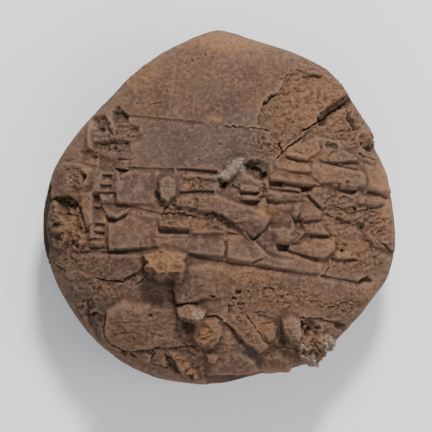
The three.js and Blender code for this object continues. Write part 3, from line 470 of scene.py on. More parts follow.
CRUSTS = [
    ((3.8, 9.8), (6.2, 3.9), 36, 1), ((-12.2, 4.5), (3.4, 5), -20, 0.4), ((-5, -24.1), (3.4, 2), 0, 0.8),
    ((17.9, -27.2), (1.6, 4.4), 8, 0.55), ((25.3, -31.5), (4.4, 3.6), 35, 1),
    ((21.5, -35.6), (5, 4.6), 50, 0.8), ((19.3, -31.5), (2.6, 2), 0, 0.6),
    ((-34.6, 6.9), (2.6, 4), 0, 0.5), ((-10.3, -36.3), (2.6, 0.9), -30, 0.6),
    ((-29.8, 19.8), (2.6, 2.2), 0, 0.5), ((-0.7, 6), (2.6, 1.6), 0, 0.45),
    ((20, -33.4), (3, 2.4), 0, 0.45), ((1.4, 8.4), (3.6, 2.6), 20, 0.9),
    ((0.7, -26.2), (2.6, 1.2), 0, 0.6), ((-32.7, -1.9), (3, 3), 0, 0.35),
]

# Pale scratches: path, strength.
SCRATCHES = [
    ([(-10.3, 34.1), (-11, 28.4), (-11.7, 21.7)], 1),
    ([(-5.7, 27), (-6, 22.2)], 0.7),
    ([(-11.7, 20.8), (-11.9, 17.9)], 0.6),
]

FACET_EDGE = 0.75  # over which a facet meets its neighbours
FACET_STRENGTH = 1.25  # of the heights in the tables
FACET_LEAN = 0.16  # steepest sideways slope of a facet
LEAN_SPREAD = 37  # so that each facet leans by a share of its own
DEEPEST_STROKE = 1.6
SCRATCH_WIDTH = 0.32
STAIN_SPREAD = 1.3  # of its size in the tables, to where it fades out

CALM_SKIN = 12  # above this, up the face, the skin is nearly even
REST_HEIGHT = 0.35  # below this the skin stays nearly flat, for the tablet to rest on
STRIPES = np.array([[0.3, 0.12, 0], [-0.08, 1.9, 0], [0, 0, 1]])  # grain of the broken clay

# Heights from the rim's widest line over which the relief and the stains fade out downwards.
RELIEF_FADE = (-1.5, 3.5)
STAIN_FADE = (-8, -3)

# Sizes of the slow, quick and fine swells that shift the places of marks, and how far each of
# them shifts a pressed, a worn, a torn and a cracked edge.
SWELL_SIZES = (5.0, 1.3, 0.55)
SHIFTS = {
    "pressed": (0.12, 0.05, 0.0),
    "worn": (0.22, 0.1, 0.04),
    "torn": (0.5, 0.28, 0.08),
    "cracked": (0.25, 0.34, 0.16),
}

# Heights, stains, and dirt and painted shade that the tools fill in, one value for each point of the skin.
LAYERS = (
    "rise", "cut", "cleft", "crumble", "broken", "warm", "grey", "crust", "dirt", "crack", "pale",
)

# Painted shade in hollows, and a lighter colour on raised edges that is partly wear and partly a painted
# highlight: rounds of smoothing that find them, and how far, in millimetres, a point lies below or above
# its surroundings where they are at their strongest.
HOLLOW_SHADE_ROUNDS = 10
FULL_HOLLOW_SHADE = 0.22
WORN_AND_HIGHLIT_ROUNDS = 4
FULL_WORN_AND_HIGHLIT = 0.09

# The picture
CAMERA_HEIGHT = 600.0
FRAME_PIXELS = 432
TABLET_PIXELS = 352  # of the tablet's width in the frame
FRAME_MIDDLE = (-0.72, -1.67)  # of the picture on the tablet
FLOOR_REACH = 1500.0
FLOOR_GAP = 0.02  # so that the floor and the resting flat don't flicker

# Lamps: direction, distance and size in metres, power in watts, colour.
LAMPS = {
    "key": ((0.13, 0.80, 0.74), 0.75, 0.13, 9.0, (1.0, 0.97, 0.94)),
    "side fill": ((0.85, -0.1, 0.5), 0.8, 0.4, 3.0, (0.98, 0.98, 1.0)),
    "low fill": ((0.0, -0.9, 0.42), 0.8, 0.5, 3.0, (0.98, 0.98, 1.0)),
}
SKY_COLOUR = (0.92, 0.95, 1.0, 1.0)
SKY_STRENGTH = 0.52


# Patterns

_scatter = np.random.default_rng(11)
SLOPES = _scatter.normal(size=(256, 3))
SLOPES /= np.linalg.norm(SLOPES, axis=1)[:, None]
SHUFFLE = _scatter.permutation(256)
CHANCE = _scatter.random((256, 3))


def swell(points, size, seed=0):
    """Smooth ups and downs from about -1 to 1, about a size apart."""
    place = points / size + seed * 17.31
    cell = np.floor(place).astype(np.int64)
    within = place - cell
    ease = within**3 * (within * (within * 6 - 15) + 10)
    total = np.zeros(len(points))
    for corner in range(8):
        step = np.array([corner & 1, corner >> 1 & 1, corner >> 2])
        near = cell + step
        pick = SHUFFLE[(near[:, 0] + SHUFFLE[(near[:, 1] + SHUFFLE[near[:, 2] & 255]) & 255]) & 255]
        share = np.prod(np.where(step == 1, ease, 1 - ease), axis=1)
        total += share * np.einsum("ij,ij->i", SLOPES[pick], within - step)
    return 1.7 * total


def grain(points, size, layers=3, seed=0):
    """Swells of halving size and strength."""
    total = np.zeros(len(points))
    for layer in range(layers):
        total += swell(points, size / 2**layer, seed + layer) / 2**layer
    return total / 1.5


def cells_around(x, y, size, seed):
    """The column and row of each place, with a step to each of the nine cells there and around,
    and the number of that cell's chances."""
    column = np.floor(x / size).astype(np.int64)
    row = np.floor(y / size).astype(np.int64)
    for across in (-1, 0, 1):
        for up in (-1, 0, 1):
            pick = SHUFFLE[(column + across + seed * 7 + SHUFFLE[(row + up) & 255]) & 255]
            yield column, row, across, up, pick


def nearest_middle(x, y, size, seed=0):
    """Gap, in sizes, to the nearest of scattered middles, and that one's number."""
    least = np.full(len(x), np.inf)
    owner = np.zeros(len(x), dtype=np.int64)
    for column, row, across, up, pick in cells_around(x, y, size, seed):
        gap = np.hypot(
            (column + across + CHANCE[pick, 0]) * size - x, (row + up + CHANCE[pick, 1]) * size - y
        )
        owner = np.where(gap < least, pick, owner)
        least = np.minimum(gap, least)
    return least / size, owner


def chips(x, y, size, seed=0):
    """Hollows that meet in crisp ridges, as where clay has broken away, from about -1 to 1."""
    low = np.full(len(x), np.inf)
    for column, row, across, up, pick in cells_around(x, y, size, seed):
        right = x / size - column - across - CHANCE[pick, 0]
        above = y / size - row - up - CHANCE[pick, 1]
        lean = 2 * math.pi * CHANCE[pick, 2]
        floor = CHANCE[(pick * 5) & 255, 1] + 0.7 * (right * np.cos(lean) + above * np.sin(lean))
        low = np.minimum(low, floor + 1.1 * (right**2 + above**2))
    return 1.6 * (low - 0.35)


def smooth(value, start, end):
    """From 0 at the start to 1 at the end, with soft ends."""
    share = np.clip((value - start) / (end - start), 0, 1)
    return share * share * (3 - 2 * share)


# The plain body

def rim_radius(heading):
    """A smooth closed curve through the rim's shares, with its local bumps."""
    count = len(RIM_SHARES)
    place = np.mod(heading / (2 * math.pi), 1) * count
    first = np.floor(place).astype(int)
    t = place - first
    shares = np.array(RIM_SHARES)
    a, b, c, d = (shares[(first + k) % count] for k in (-1, 0, 1, 2))
    share = b + 0.5 * t * (c - a + t * (2 * a - 5 * b + 4 * c - d + t * (3 * (b - c) + d - a)))
    radius = HALF * share
    for middle, width, height in RIM_BUMPS:
        away = np.degrees(np.angle(np.exp(1j * (heading - math.radians(middle)))))
        radius += height * np.exp(-((away / width) ** 2))
    return radius


def body_profile():
    """Share of the rim's radius and height from the face's crown to the back's, at even steps."""
    sweep = np.linspace(0, 1, PROFILE_POINTS)
    face_polar = math.pi / 2 * sweep ** (FACE_FLATNESS / 2)
    back_polar = math.pi / 2 * sweep[::-1] ** (BACK_FLATNESS / 2)
    share = np.concatenate(
        [np.sin(face_polar) ** (2 / FACE_FLATNESS), np.sin(back_polar[1:]) ** (2 / BACK_FLATNESS)]
    )
    height = np.concatenate(
        [RIM_Z + FACE_RISE * np.cos(face_polar), RIM_Z - BACK_DROP * np.cos(back_polar[1:])]
    )
    height = np.maximum(height, 0)
    run = np.concatenate([[0], np.cumsum(np.hypot(np.diff(share) * HALF, np.diff(height)))])
    rim_run = run[len(sweep) - 1]
    stops = [0.0]
    while stops[-1] < run[-1]:
        past = smooth(stops[-1], rim_run + 1, rim_run + BACK_START)
        stops.append(stops[-1] + FACE_STEP + (BACK_STEP - FACE_STEP) * past)
    stops = np.array(stops[:-1] + [run[-1]])
    return np.interp(stops, run, share), np.interp(stops, run, height), np.gradient(stops)


def body_skin():
    """Points and triangles of the uncarved body, in rings from the face's crown to the back's."""
    shares, heights, steps = body_profile()
    counts = [1]
    counts += [max(6, round(2 * math.pi * s * HALF / gap)) for s, gap in zip(shares[1:-1], steps[1:-1])]
    counts += [1]
    rings = []
    for share, height, count in zip(shares, heights, counts):
        heading = 2 * math.pi * np.arange(count) / count
        radius = share * rim_radius(heading)
        rings.append(
            np.column_stack([radius * np.cos(heading), radius * np.sin(heading), np.full(count, height)])
        )
    faces = []
    start = 0
    for inner, outer in zip(counts[:-1], counts[1:]):
        next_start = start + inner
        if outer > 1:
            edge = np.arange(outer)
            apex = np.round((edge + 0.5) / outer * inner).astype(int) % inner
            faces.append(
                np.column_stack([start + apex, next_start + edge, next_start + (edge + 1) % outer])
            )
        if inner > 1:
            edge = np.arange(inner)
            apex = np.ceil((edge + 0.5) / inner * outer - 0.5).astype(int) % outer
            faces.append(np.column_stack([start + edge, next_start + apex, start + (edge + 1) % inner]))
        start = next_start
    return np.concatenate(rings), np.concatenate(faces)


def point_normals(points, faces):
    """Outward direction at each point, from the triangles around it."""
    corners = points[faces]
    facing = np.cross(corners[:, 1] - corners[:, 0], corners[:, 2] - corners[:, 0])
    normals = np.zeros_like(points)
    for axis in range(3):
        for corner in range(3):
            normals[:, axis] += np.bincount(faces[:, corner], facing[:, axis], len(points))
    return normals / np.linalg.norm(normals, axis=1)[:, None]


# Tools that work the face. Each one changes the heights and stains of the points near its mark.

def along_path(x, y, path):
    """Gap to a path, its side (1 to the left) and the share of the path passed there."""
    path = np.array(path, dtype=float)
    steps = np.diff(path, axis=0)
    lengths = np.hypot(steps[:, 0], steps[:, 1])
    passed = np.concatenate([[0], np.cumsum(lengths)])
    best = np.full(len(x), np.inf)
    side = np.zeros(len(x))
    share = np.zeros(len(x))
    for k, length in enumerate(lengths):
        across = x - path[k, 0]
        up = y - path[k, 1]
        t = np.clip((across * steps[k, 0] + up * steps[k, 1]) / length**2, 0, 1)
        gap = np.hypot(across - t * steps[k, 0], up - t * steps[k, 1])
        nearest = gap < best
        best = np.where(nearest, gap, best)
        side = np.where(nearest, np.sign(steps[k, 0] * up - steps[k, 1] * across), side)
        share = np.where(nearest, (passed[k] + t * length) / passed[-1], share)
    return best, side, share


def near(face, places, reach):
    """The face's points in the box around some places."""
    places = np.array(places, dtype=float)
    low = places.min(axis=0) - reach
    high = places.max(axis=0) + reach
    inside = (face.x > low[0]) & (face.x < high[0]) & (face.y > low[1]) & (face.y < high[1])
    return np.flatnonzero(inside & (face.beside > 0.02))


def turned(across, up, turn):
    """How far a place lies along a direction, and to the left of it."""
    slant = math.radians(turn)
    along = across * math.cos(slant) + up * math.sin(slant)
    return along, up * math.cos(slant) - across * math.sin(slant)


def oval(face, at, size, turn, rough=0.25):
    """Points near an oval, with 0 at its middle and 1 at its ragged edge."""
    spot = near(face, [at], max(size))
    u, v = turned(face.torn_x[spot] - at[0], face.torn_y[spot] - at[1], turn)
    corner = 2.4  # 2 is an ellipse, more is squarer
    out = (np.abs(u / (size[0] / 2)) ** corner + np.abs(v / (size[1] / 2)) ** corner) ** (1 / corner)
    return spot, out * (1 + rough * face.ragged[spot])


def strengthen(layer, spot, strength):
    """Make a layer at least this strong at some points."""
    layer[spot] = np.maximum(layer[spot], strength)


def rule(face, path, drop, wall, slope):
    """Draw a line with a steep wall on one side and a slope on the other."""
    spot = near(face, path, 2.0)
    gap, side, share = along_path(face.pressed_x[spot], face.pressed_y[spot], path)
    fall = np.where(side > 0, 1 - gap / wall, 1 - gap / slope)
    ends = smooth(np.minimum(share, 1 - share), 0, 0.06)
    worn = 0.75 + 0.35 * face.patchy[spot]
    strengthen(face.cut, spot, drop * worn * ends * np.clip(fall, 0, 1))
    # Dirt and painted shade in the line.
    strengthen(face.dirt, spot, 0.6 * ends * np.clip(1 - gap / 0.35, 0, 1))


def press(face, at, length, width, turn, floor):
    """Press the corner of a reed: a deep head, a steep upper wall, a sloping floor, a thin tail."""
    spot = near(face, [at], length + 1)
    u, v = turned(face.pressed_x[spot] - at[0], face.pressed_y[spot] - at[1], turn)
    opening = width / 2 * (1 - u / length)
    cut = np.minimum(np.minimum(1.7 * u, 3.0 * (0.35 * opening - v)), floor * (v + 1.65 * opening))
    cut *= 1 + 0.15 * face.patchy[spot]
    burr = 0.16 * np.exp(-3 * np.abs(cut)) * (cut < 0) * (u > -0.5) * (u < length) * (v > -opening)
    strengthen(face.cut, spot, np.minimum(cut, DEEPEST_STROKE))
    face.rise[spot] += burr
    # Dirt and painted shade in the deep part of the stroke.
    strengthen(face.dirt, spot, 0.35 * smooth(cut, 0.5, 1.3))


def split(face, path, width, depth, drop):
    """Open a crack, with the ground to its right a little lower."""
    spot = near(face, path, 2.5)
    gap, side, share = along_path(face.cracked_x[spot], face.cracked_y[spot], path)
    ends = smooth(np.minimum(share, 1 - share), -0.02, 0.12)
    half = 0.4 * width * (0.4 + 0.6 * ends) * np.clip(1 + 0.9 * face.patchy[spot], 0.3, 1.8)
    open_share = np.clip(0.9 + 0.5 * face.ragged[spot], 0.3, 1.2)
    face.cleft[spot] += 0.8 * depth * open_share * ends * np.clip(1 - gap / half, 0, 1) ** 0.6
    face.rise[spot] -= drop * ends * (side < 0) * smooth(gap, 2.4, 0)
    face.rise[spot] += 0.35 * drop * ends * (side > 0) * smooth(gap, 1.0, 0)
    # Painted shade inside the crack.
    strengthen(face.crack, spot, ends * smooth(gap, half + 0.08, half * 0.3))


def inside_outline(x, y, outline, edge):
    """1 inside an outline and 0 outside, with an edge of some width between."""
    gap, _, _ = along_path(x, y, list(outline) + [outline[0]])
    within = np.zeros(len(x), dtype=bool)
    for (x0, y0), (x1, y1) in zip(outline, list(outline[1:]) + [outline[0]]):
        crosses = (y0 > y) != (y1 > y)
        with np.errstate(divide="ignore", invalid="ignore"):
            meet = x0 + (y - y0) * (x1 - x0) / (y1 - y0)
        within ^= crosses & (x < meet)
    return smooth(np.where(within, gap, -gap), -edge / 2, edge / 2)


def flake_off(face, outline, depth, edge):
    """Lower the ground where the skin is lost."""
    spot = near(face, outline, 1.5)
    lost = inside_outline(face.torn_x[spot], face.torn_y[spot], outline, edge)
    face.rise[spot] -= depth * lost
    strengthen(face.broken, spot, lost)


def impress(face, outline, low, high, rising, edge=FACET_EDGE):
    """A tilted piece of surface, from its low edge to its high one."""
    spot = near(face, outline, 1.0 + edge)
    inside = inside_outline(face.worn_x[spot], face.worn_y[spot], outline, edge)
    way = math.radians(rising)
    reach = [x * math.cos(way) + y * math.sin(way) for x, y in outline]
    along = face.worn_x[spot] * math.cos(way) + face.worn_y[spot] * math.sin(way)
    share = np.clip((along - min(reach)) / (max(reach) - min(reach)), 0, 1)
    aside = face.worn_x[spot] * math.sin(way) - face.worn_y[spot] * math.cos(way)
    lean = FACET_LEAN * math.sin(LEAN_SPREAD * (reach[0] + reach[1])) * (aside - np.mean(aside))
    height = FACET_STRENGTH * (low + (high - low) * share**0.85) + np.clip(lean, -0.5, 0.5)
    face.rise[spot] += inside * height * (1 + 0.15 * face.patchy[spot])
    face.broken[spot] *= 1 - 0.5 * inside
    # Dirt and painted shade along a sunken low edge.
    if low < 0:
        strengthen(face.dirt, spot, 0.25 * inside * smooth(share, 0.3, 0.0))


def bite(face, at, size, depth, turn):
    """Take out a hollow with a torn floor and a torn edge."""
    spot, out = oval(face, at, size, turn)
    x, y = face.torn_x[spot], face.torn_y[spot]
    torn = chips(x, y, 1.5, 12) + 0.6 * chips(x, y, 0.7, 13)
    bowl = np.clip(1 - (out * (1 + 0.35 * torn)) ** 2, 0, 1) ** 0.6
    face.rise[spot] -= depth * bowl * (1 + 0.35 * torn)
    # Dirt and painted shade in the bowl.
    strengthen(face.dirt, spot, 0.5 * smooth(bowl, 0.2, 0.9) * min(depth, 1))
    strengthen(face.broken, spot, 0.7 * smooth(bowl, 0, 0.3))


def raise_block(face, outline, top, bottom, walls, skirt, rough):
    """A broken block whose top leans towards the top of the face, with a slope below it."""
    spot = near(face, outline, 1.5 + skirt)
    x, y = face.torn_x[spot], face.torn_y[spot]
    ends = [place[1] for place in outline]
    raised = np.zeros(len(spot))
    for lower in np.linspace(0, 1, 9):
        block = inside_outline(x, y + lower * skirt, outline, walls)
        share = np.clip((max(ends) - y - lower * skirt) / (max(ends) - min(ends)), 0, 1)
        height = (top + (bottom - top) * share) * (1 - lower)
        raised = np.maximum(raised, block * height)
    raised *= 1 + 0.14 * rough * chips(x, y, 2.2, 9)
    face.rise[spot] += raised
    strengthen(face.broken, spot, rough * smooth(raised, 0, 0.3 * bottom))


def broken_shape(face, spot, size, seed):
    """Heights of broken ground, in chips of a size with smaller ones on them."""
    x, y = face.torn_x[spot], face.torn_y[spot] * 1.35
    shape = 0.6 * chips(x, y, size, seed) - 0.4 * chips(y, x, size * 0.62, seed + 3)
    return shape + 0.22 * chips(x, y, size * 0.35, seed + 5) + 0.3 * face.ragged[spot]


def crumble(face, at, size, turn, chip, depth):
    """Break up the ground into chips."""
    spot, out = oval(face, at, size, turn, 0.55)
    loose = smooth(out, 1.05, 0.45)
    face.crumble[spot] += depth * loose * (broken_shape(face, spot, chip, round(10 * chip)) - 0.25)
    strengthen(face.broken, spot, 0.85 * loose)


def weather(face, at, size, turn, depth):
    """Wear the ground into low, blunt chips."""
    spot, out = oval(face, at, size, turn, 0.5)
    worn = smooth(out, 1.05, 0.4)
    x, y = face.torn_x[spot], face.torn_y[spot] * 1.2
    shape = 0.5 * chips(x, y, 2.9, 2) - 0.35 * chips(y, x, 1.4, 4) + 0.5 * face.ragged[spot]
    face.crumble[spot] += depth * worn * shape
    strengthen(face.broken, spot, 0.45 * worn)


def pit(face, where, size, chance, depth, seed):
    """Small round pits where some grit or chaff has gone."""
    spot = np.flatnonzero(where > 0.05)
    gap, owner = nearest_middle(face.torn_x[spot], face.torn_y[spot], size, seed)
    radius = 0.06 + 0.16 * CHANCE[owner, 0] ** 2
    pitted = (CHANCE[owner, 2] < chance * where[spot]) * np.clip(1 - (gap / radius) ** 2, 0, 1)
    face.rise[spot] -= depth * pitted
    # Dirt and painted shade in the pits.
    strengthen(face.dirt, spot, 0.7 * pitted)


def stain(face, name, stains):
    """Mark where a layer of colour lies."""
    layer = getattr(face, name)
    for at, size, turn, strength in stains:
        spread = (size[0] * STAIN_SPREAD, size[1] * STAIN_SPREAD)
        spot, out = oval(face, at, spread, turn, 0.45)
        strengthen(layer, spot, strength * smooth(out, 1.0, 0.35))


def scratch(face, path, strength):
    """Draw a pale line."""
    spot = near(face, path, 1.0)
    gap, _, _ = along_path(face.pressed_x[spot], face.pressed_y[spot], path)
    strengthen(face.pale, spot, strength * smooth(gap, SCRATCH_WIDTH, SCRATCH_WIDTH / 4))


def lay_out(points):
    """The fields that the tools work on, one value for each point of the skin."""
    face = SimpleNamespace(x=points[:, 0], y=points[:, 1], z=points[:, 2])
    face.upper = smooth(face.z, RIM_Z + RELIEF_FADE[0], RIM_Z + RELIEF_FADE[1])
    face.beside = smooth(face.z, RIM_Z + STAIN_FADE[0], RIM_Z + STAIN_FADE[1])
    for axis, place in enumerate((face.x, face.y)):
        swells = [swell(points, size, 2 * k + axis + 1) for k, size in enumerate(SWELL_SIZES)]
        for edge, shifts in SHIFTS.items():
            moved = place
            for shift, swelling in zip(shifts, swells):
                moved = moved + shift * swelling
            setattr(face, edge + "_" + "xy"[axis], moved)
    face.ragged = grain(points, 1.8, 3, 20)
    face.patchy = grain(points, 3.6, 3, 30)
    for name in LAYERS:
        setattr(face, name, np.zeros(len(points)))
    return face


def wear(face, points):
    """Join what the marks have cut and raised, and make the whole skin uneven."""
    striation = grain(points @ STRIPES.T, 1.3, 3, 40)
    face.rise += face.broken * 0.15 * striation + face.crust * 0.16 * face.ragged + face.crumble
    face.rise -= face.cut * (1 - 0.4 * np.clip(face.broken - 0.4, 0, 1)) + face.cleft
    face.rise *= face.upper
    for name in ("broken", "crack", "dirt", "grey"):
        setattr(face, name, getattr(face, name) * face.beside)
    uneven = 0.15 + 0.85 * smooth(face.y, CALM_SKIN, CALM_SKIN / 2)
    face.rise += 0.42 * grain(points, 6.5, 3, 70) * uneven * face.upper
    all_round = 0.35 * grain(points, 15.0, 3, 50) + 0.06 * grain(points, 2.4, 3, 60)
    face.rise += all_round + 0.06 * (0.5 + face.broken) * face.ragged
    face.rise += face.upper * (0.05 + 0.07 * face.broken) * chips(face.torn_x, face.torn_y * 1.3, 0.8, 17)
    resting = points[:, 2] < REST_HEIGHT
    face.rise = np.where(resting, np.minimum(face.rise, 0) * 0.3, face.rise)


def work_skin(points):
    """How far each point of the skin stands out, with the face worked and worn."""
    face = lay_out(points)
    work = (
        (impress, FORMS),
        (flake_off, FLAKES),
        (rule, RULINGS + GROOVES),
        (press, STROKES),
        (impress, FACETS),
        (weather, WEATHERED),
        (crumble, CRUMBLED),
        (bite, HOLLOWS),
        (raise_block, BLOCKS),
        (split, CRACKS),
        (scratch, SCRATCHES),
    )
    for tool, marks in work:
        for mark in marks:
            tool(face, *mark)
    layers = {"warm": WARM_STAINS, "grey": GREY_STAINS, "crust": CRUSTS, "dirt": DARK_STAINS_AND_SHADE}
    for name, stains in layers.items():
        stain(face, name, stains)
    pit(face, 0.15 + 0.85 * face.broken, size=1.1, chance=0.35, depth=0.3, seed=3)
    pit(face, np.clip(0.5 + face.patchy, 0, 1), size=1.5, chance=0.5, depth=0.26, seed=5)
    wear(face, points)
    return face


# Meshes

def mesh_object(name, points, faces):
    """An object of triangles."""
    mesh = bpy.data.meshes.new(name)
    mesh.vertices.add(len(points))
    mesh.vertices.foreach_set("co", np.asarray(points, dtype=np.float32).ravel())
    mesh.loops.add(len(faces) * 3)
    mesh.loops.foreach_set("vertex_index", np.asarray(faces, dtype=np.int32).ravel())
    mesh.polygons.add(len(faces))
    mesh.polygons.foreach_set("loop_start", np.arange(0, len(faces) * 3, 3, dtype=np.int32))
    mesh.update(calc_edges=True)
    mesh.validate()
    made = bpy.data.objects.new(name, mesh)
    bpy.context.scene.collection.objects.link(made)
    return made


def applied(made, name):
    """A plain object from one whose modifiers are live."""
    depsgraph = bpy.context.evaluated_depsgraph_get()
    mesh = bpy.data.meshes.new_from_object(made.evaluated_get(depsgraph))
    made.modifiers.clear()
    mesh.name = name
    plain = bpy.data.objects.new(name, mesh)
    bpy.context.scene.collection.objects.link(plain)
    return plain


def thinned(made, name):
    """A copy with few enough triangles, in place of the full one."""
    triangles = len(made.data.polygons)
    thin = made.modifiers.new("thin", "DECIMATE")
    thin.ratio = min(1.0, MOST_TRIANGLES / triangles)
    plain = applied(made, name)
    bpy.data.objects.remove(made)
    return plain


def read(items, name, kind, width):
    """One property of a mesh's points or edges, as rows of numbers."""
    values = np.empty(len(items) * width, dtype=kind)
    items.foreach_get(name, values)
    return values.reshape(-1, width)


def sunkenness(mesh, rounds):
    """How far each point lies below the mean of its surroundings, in millimetres."""
    points = read(mesh.vertices, "co", np.float32, 3).astype(float) / MM
    normals = read(mesh.vertices, "normal", np.float32, 3)
    edges = read(mesh.edges, "vertices", np.int32, 2)
    degree = np.bincount(edges.ravel(), minlength=len(points))
    around = points.copy()
    for _ in range(rounds):
        for axis in range(3):
            value = around[:, axis].copy()
            total = np.bincount(edges[:, 0], value[edges[:, 1]], len(points))
            total += np.bincount(edges[:, 1], value[edges[:, 0]], len(points))
            around[:, axis] = total / degree
    return np.einsum("ij,ij->i", around - points, normals)


def paint(mesh, name, values):
    """Keep a field on the mesh, for its material and its grains."""
    layer = mesh.attributes.new(name, "FLOAT", "POINT")
    layer.data.foreach_set("value", np.asarray(values, dtype=np.float32))


def nearest_points(mesh, points):
    """Which of the points each vertex of a mesh is nearest to."""
    tree = kdtree.KDTree(len(points))
    for index, point in enumerate(points):
        tree.insert(point, index)
    tree.balance()
    return np.array([tree.find(vertex.co)[1] for vertex in mesh.vertices])


def make_tablet():
    """The whole tablet: the plain body, worked and thinned, with its fields painted on."""
    points, faces = body_skin()
    face = work_skin(points)
    worked = (points + point_normals(points, faces) * face.rise[:, None]) * MM
    worked[:, 2] = np.maximum(worked[:, 2], 0)
    made = thinned(mesh_object("tablet_skin_full", worked, faces), "tablet_skin")
    source = nearest_points(made.data, worked)
    for name in ("broken", "warm", "grey", "crust", "dirt", "crack"):
        paint(made.data, name, getattr(face, name)[source])
    relief = face.upper[source]
    # Painted shade where a point lies below its surroundings.
    hollow = np.clip(sunkenness(made.data, HOLLOW_SHADE_ROUNDS) / FULL_HOLLOW_SHADE, 0, 1)
    paint(made.data, "hollow", relief * hollow)
    # Lighter where a point stands above its surroundings, partly wear and partly a painted highlight, and
    # along the pale scratches.
    worn = relief * np.clip(-sunkenness(made.data, WORN_AND_HIGHLIT_ROUNDS) / FULL_WORN_AND_HIGHLIT, 0, 1)
    paint(made.data, "worn", np.maximum(worn, face.pale[source]))
    made.data.polygons.foreach_set("use_smooth", np.ones(len(made.data.polygons), dtype=bool))
    return made


# Materials

def tone(red, green, blue):
    """A colour given as it looks, 0 to 255."""
    def linear(value):
        value /= 255
        return value / 12.92 if value <= 0.04045 else ((value + 0.055) / 1.055) ** 2.4
    return (linear(red), linear(green), linear(blue), 1.0)


class Recipe:
    """A material's nodes, laid one after the other."""

    def __init__(self, name, roughness, specular):
        self.material = bpy.data.materials.new(name)
        self.material.use_nodes = True
        self.nodes = self.material.node_tree.nodes
        self.links = self.material.node_tree.links
        self.shader = self.nodes["Principled BSDF"]
        self.shader.inputs["Roughness"].default_value = roughness
        self.shader.inputs["Specular IOR Level"].default_value = specular
        self.place = self.nodes.new("ShaderNodeTexCoord").outputs["Object"]

    def field(self, name):
        """A field that is kept on the mesh."""
        node = self.nodes.new("ShaderNodeAttribute")
        node.attribute_name = name
        return node.outputs["Fac"]

    def noise(self, size, detail=4.0, rough=0.55, stretch=None):
        """Clouds of a size in millimetres."""
        node = self.nodes.new("ShaderNodeTexNoise")
        node.inputs["Scale"].default_value = 1 / (size * MM)
        node.inputs["Detail"].default_value = detail
        node.inputs["Roughness"].default_value = rough
        source = self.place
        if stretch:
            mapping = self.nodes.new("ShaderNodeMapping")
            mapping.inputs["Scale"].default_value = stretch
            self.links.new(source, mapping.inputs["Vector"])
            source = mapping.outputs["Vector"]
        self.links.new(source, node.inputs["Vector"])
        return node.outputs["Fac"]

    def ramp(self, value, low, high, to_low=0.0, to_high=1.0):
        """A value taken from one range to another, with soft ends."""
        node = self.nodes.new("ShaderNodeMapRange")
        node.interpolation_type = "SMOOTHSTEP"
        for socket, amount in zip(node.inputs[1:5], (low, high, to_low, to_high)):
            socket.default_value = amount
        self.links.new(value, node.inputs[0])
        return node.outputs[0]

    def math(self, operation, first, second):
        node = self.nodes.new("ShaderNodeMath")
        node.operation = operation
        for socket, value in zip(node.inputs, (first, second)):
            if isinstance(value, float):
                socket.default_value = value
            else:
                self.links.new(value, socket)
        return node.outputs[0]

    def mix(self, share, first, second, blend="MIX"):
        node = self.nodes.new("ShaderNodeMix")
        node.data_type = "RGBA"
        node.blend_type = blend
        sockets = (node.inputs[0], node.inputs[6], node.inputs[7])
        for socket, value in zip(sockets, (share, first, second)):
            if isinstance(value, (tuple, float)):
                socket.default_value = value
            else:
                self.links.new(value, socket)
        return node.outputs[2]

    def finish(self, colour, bumps):
        """Join the colour and the bumps, each with its height in millimetres and strength."""
        self.links.new(colour, self.shader.inputs["Base Color"])
        before = None
        for height, distance, strength in bumps:
            node = self.nodes.new("ShaderNodeBump")
            node.inputs["Distance"].default_value = distance * MM
            node.inputs["Strength"].default_value = strength
            self.links.new(height, node.inputs["Height"])
            if before:
                self.links.new(before, node.inputs["Normal"])
            before = node.outputs["Normal"]
        if before:
            self.links.new(before, self.shader.inputs["Normal"])
        return self.material


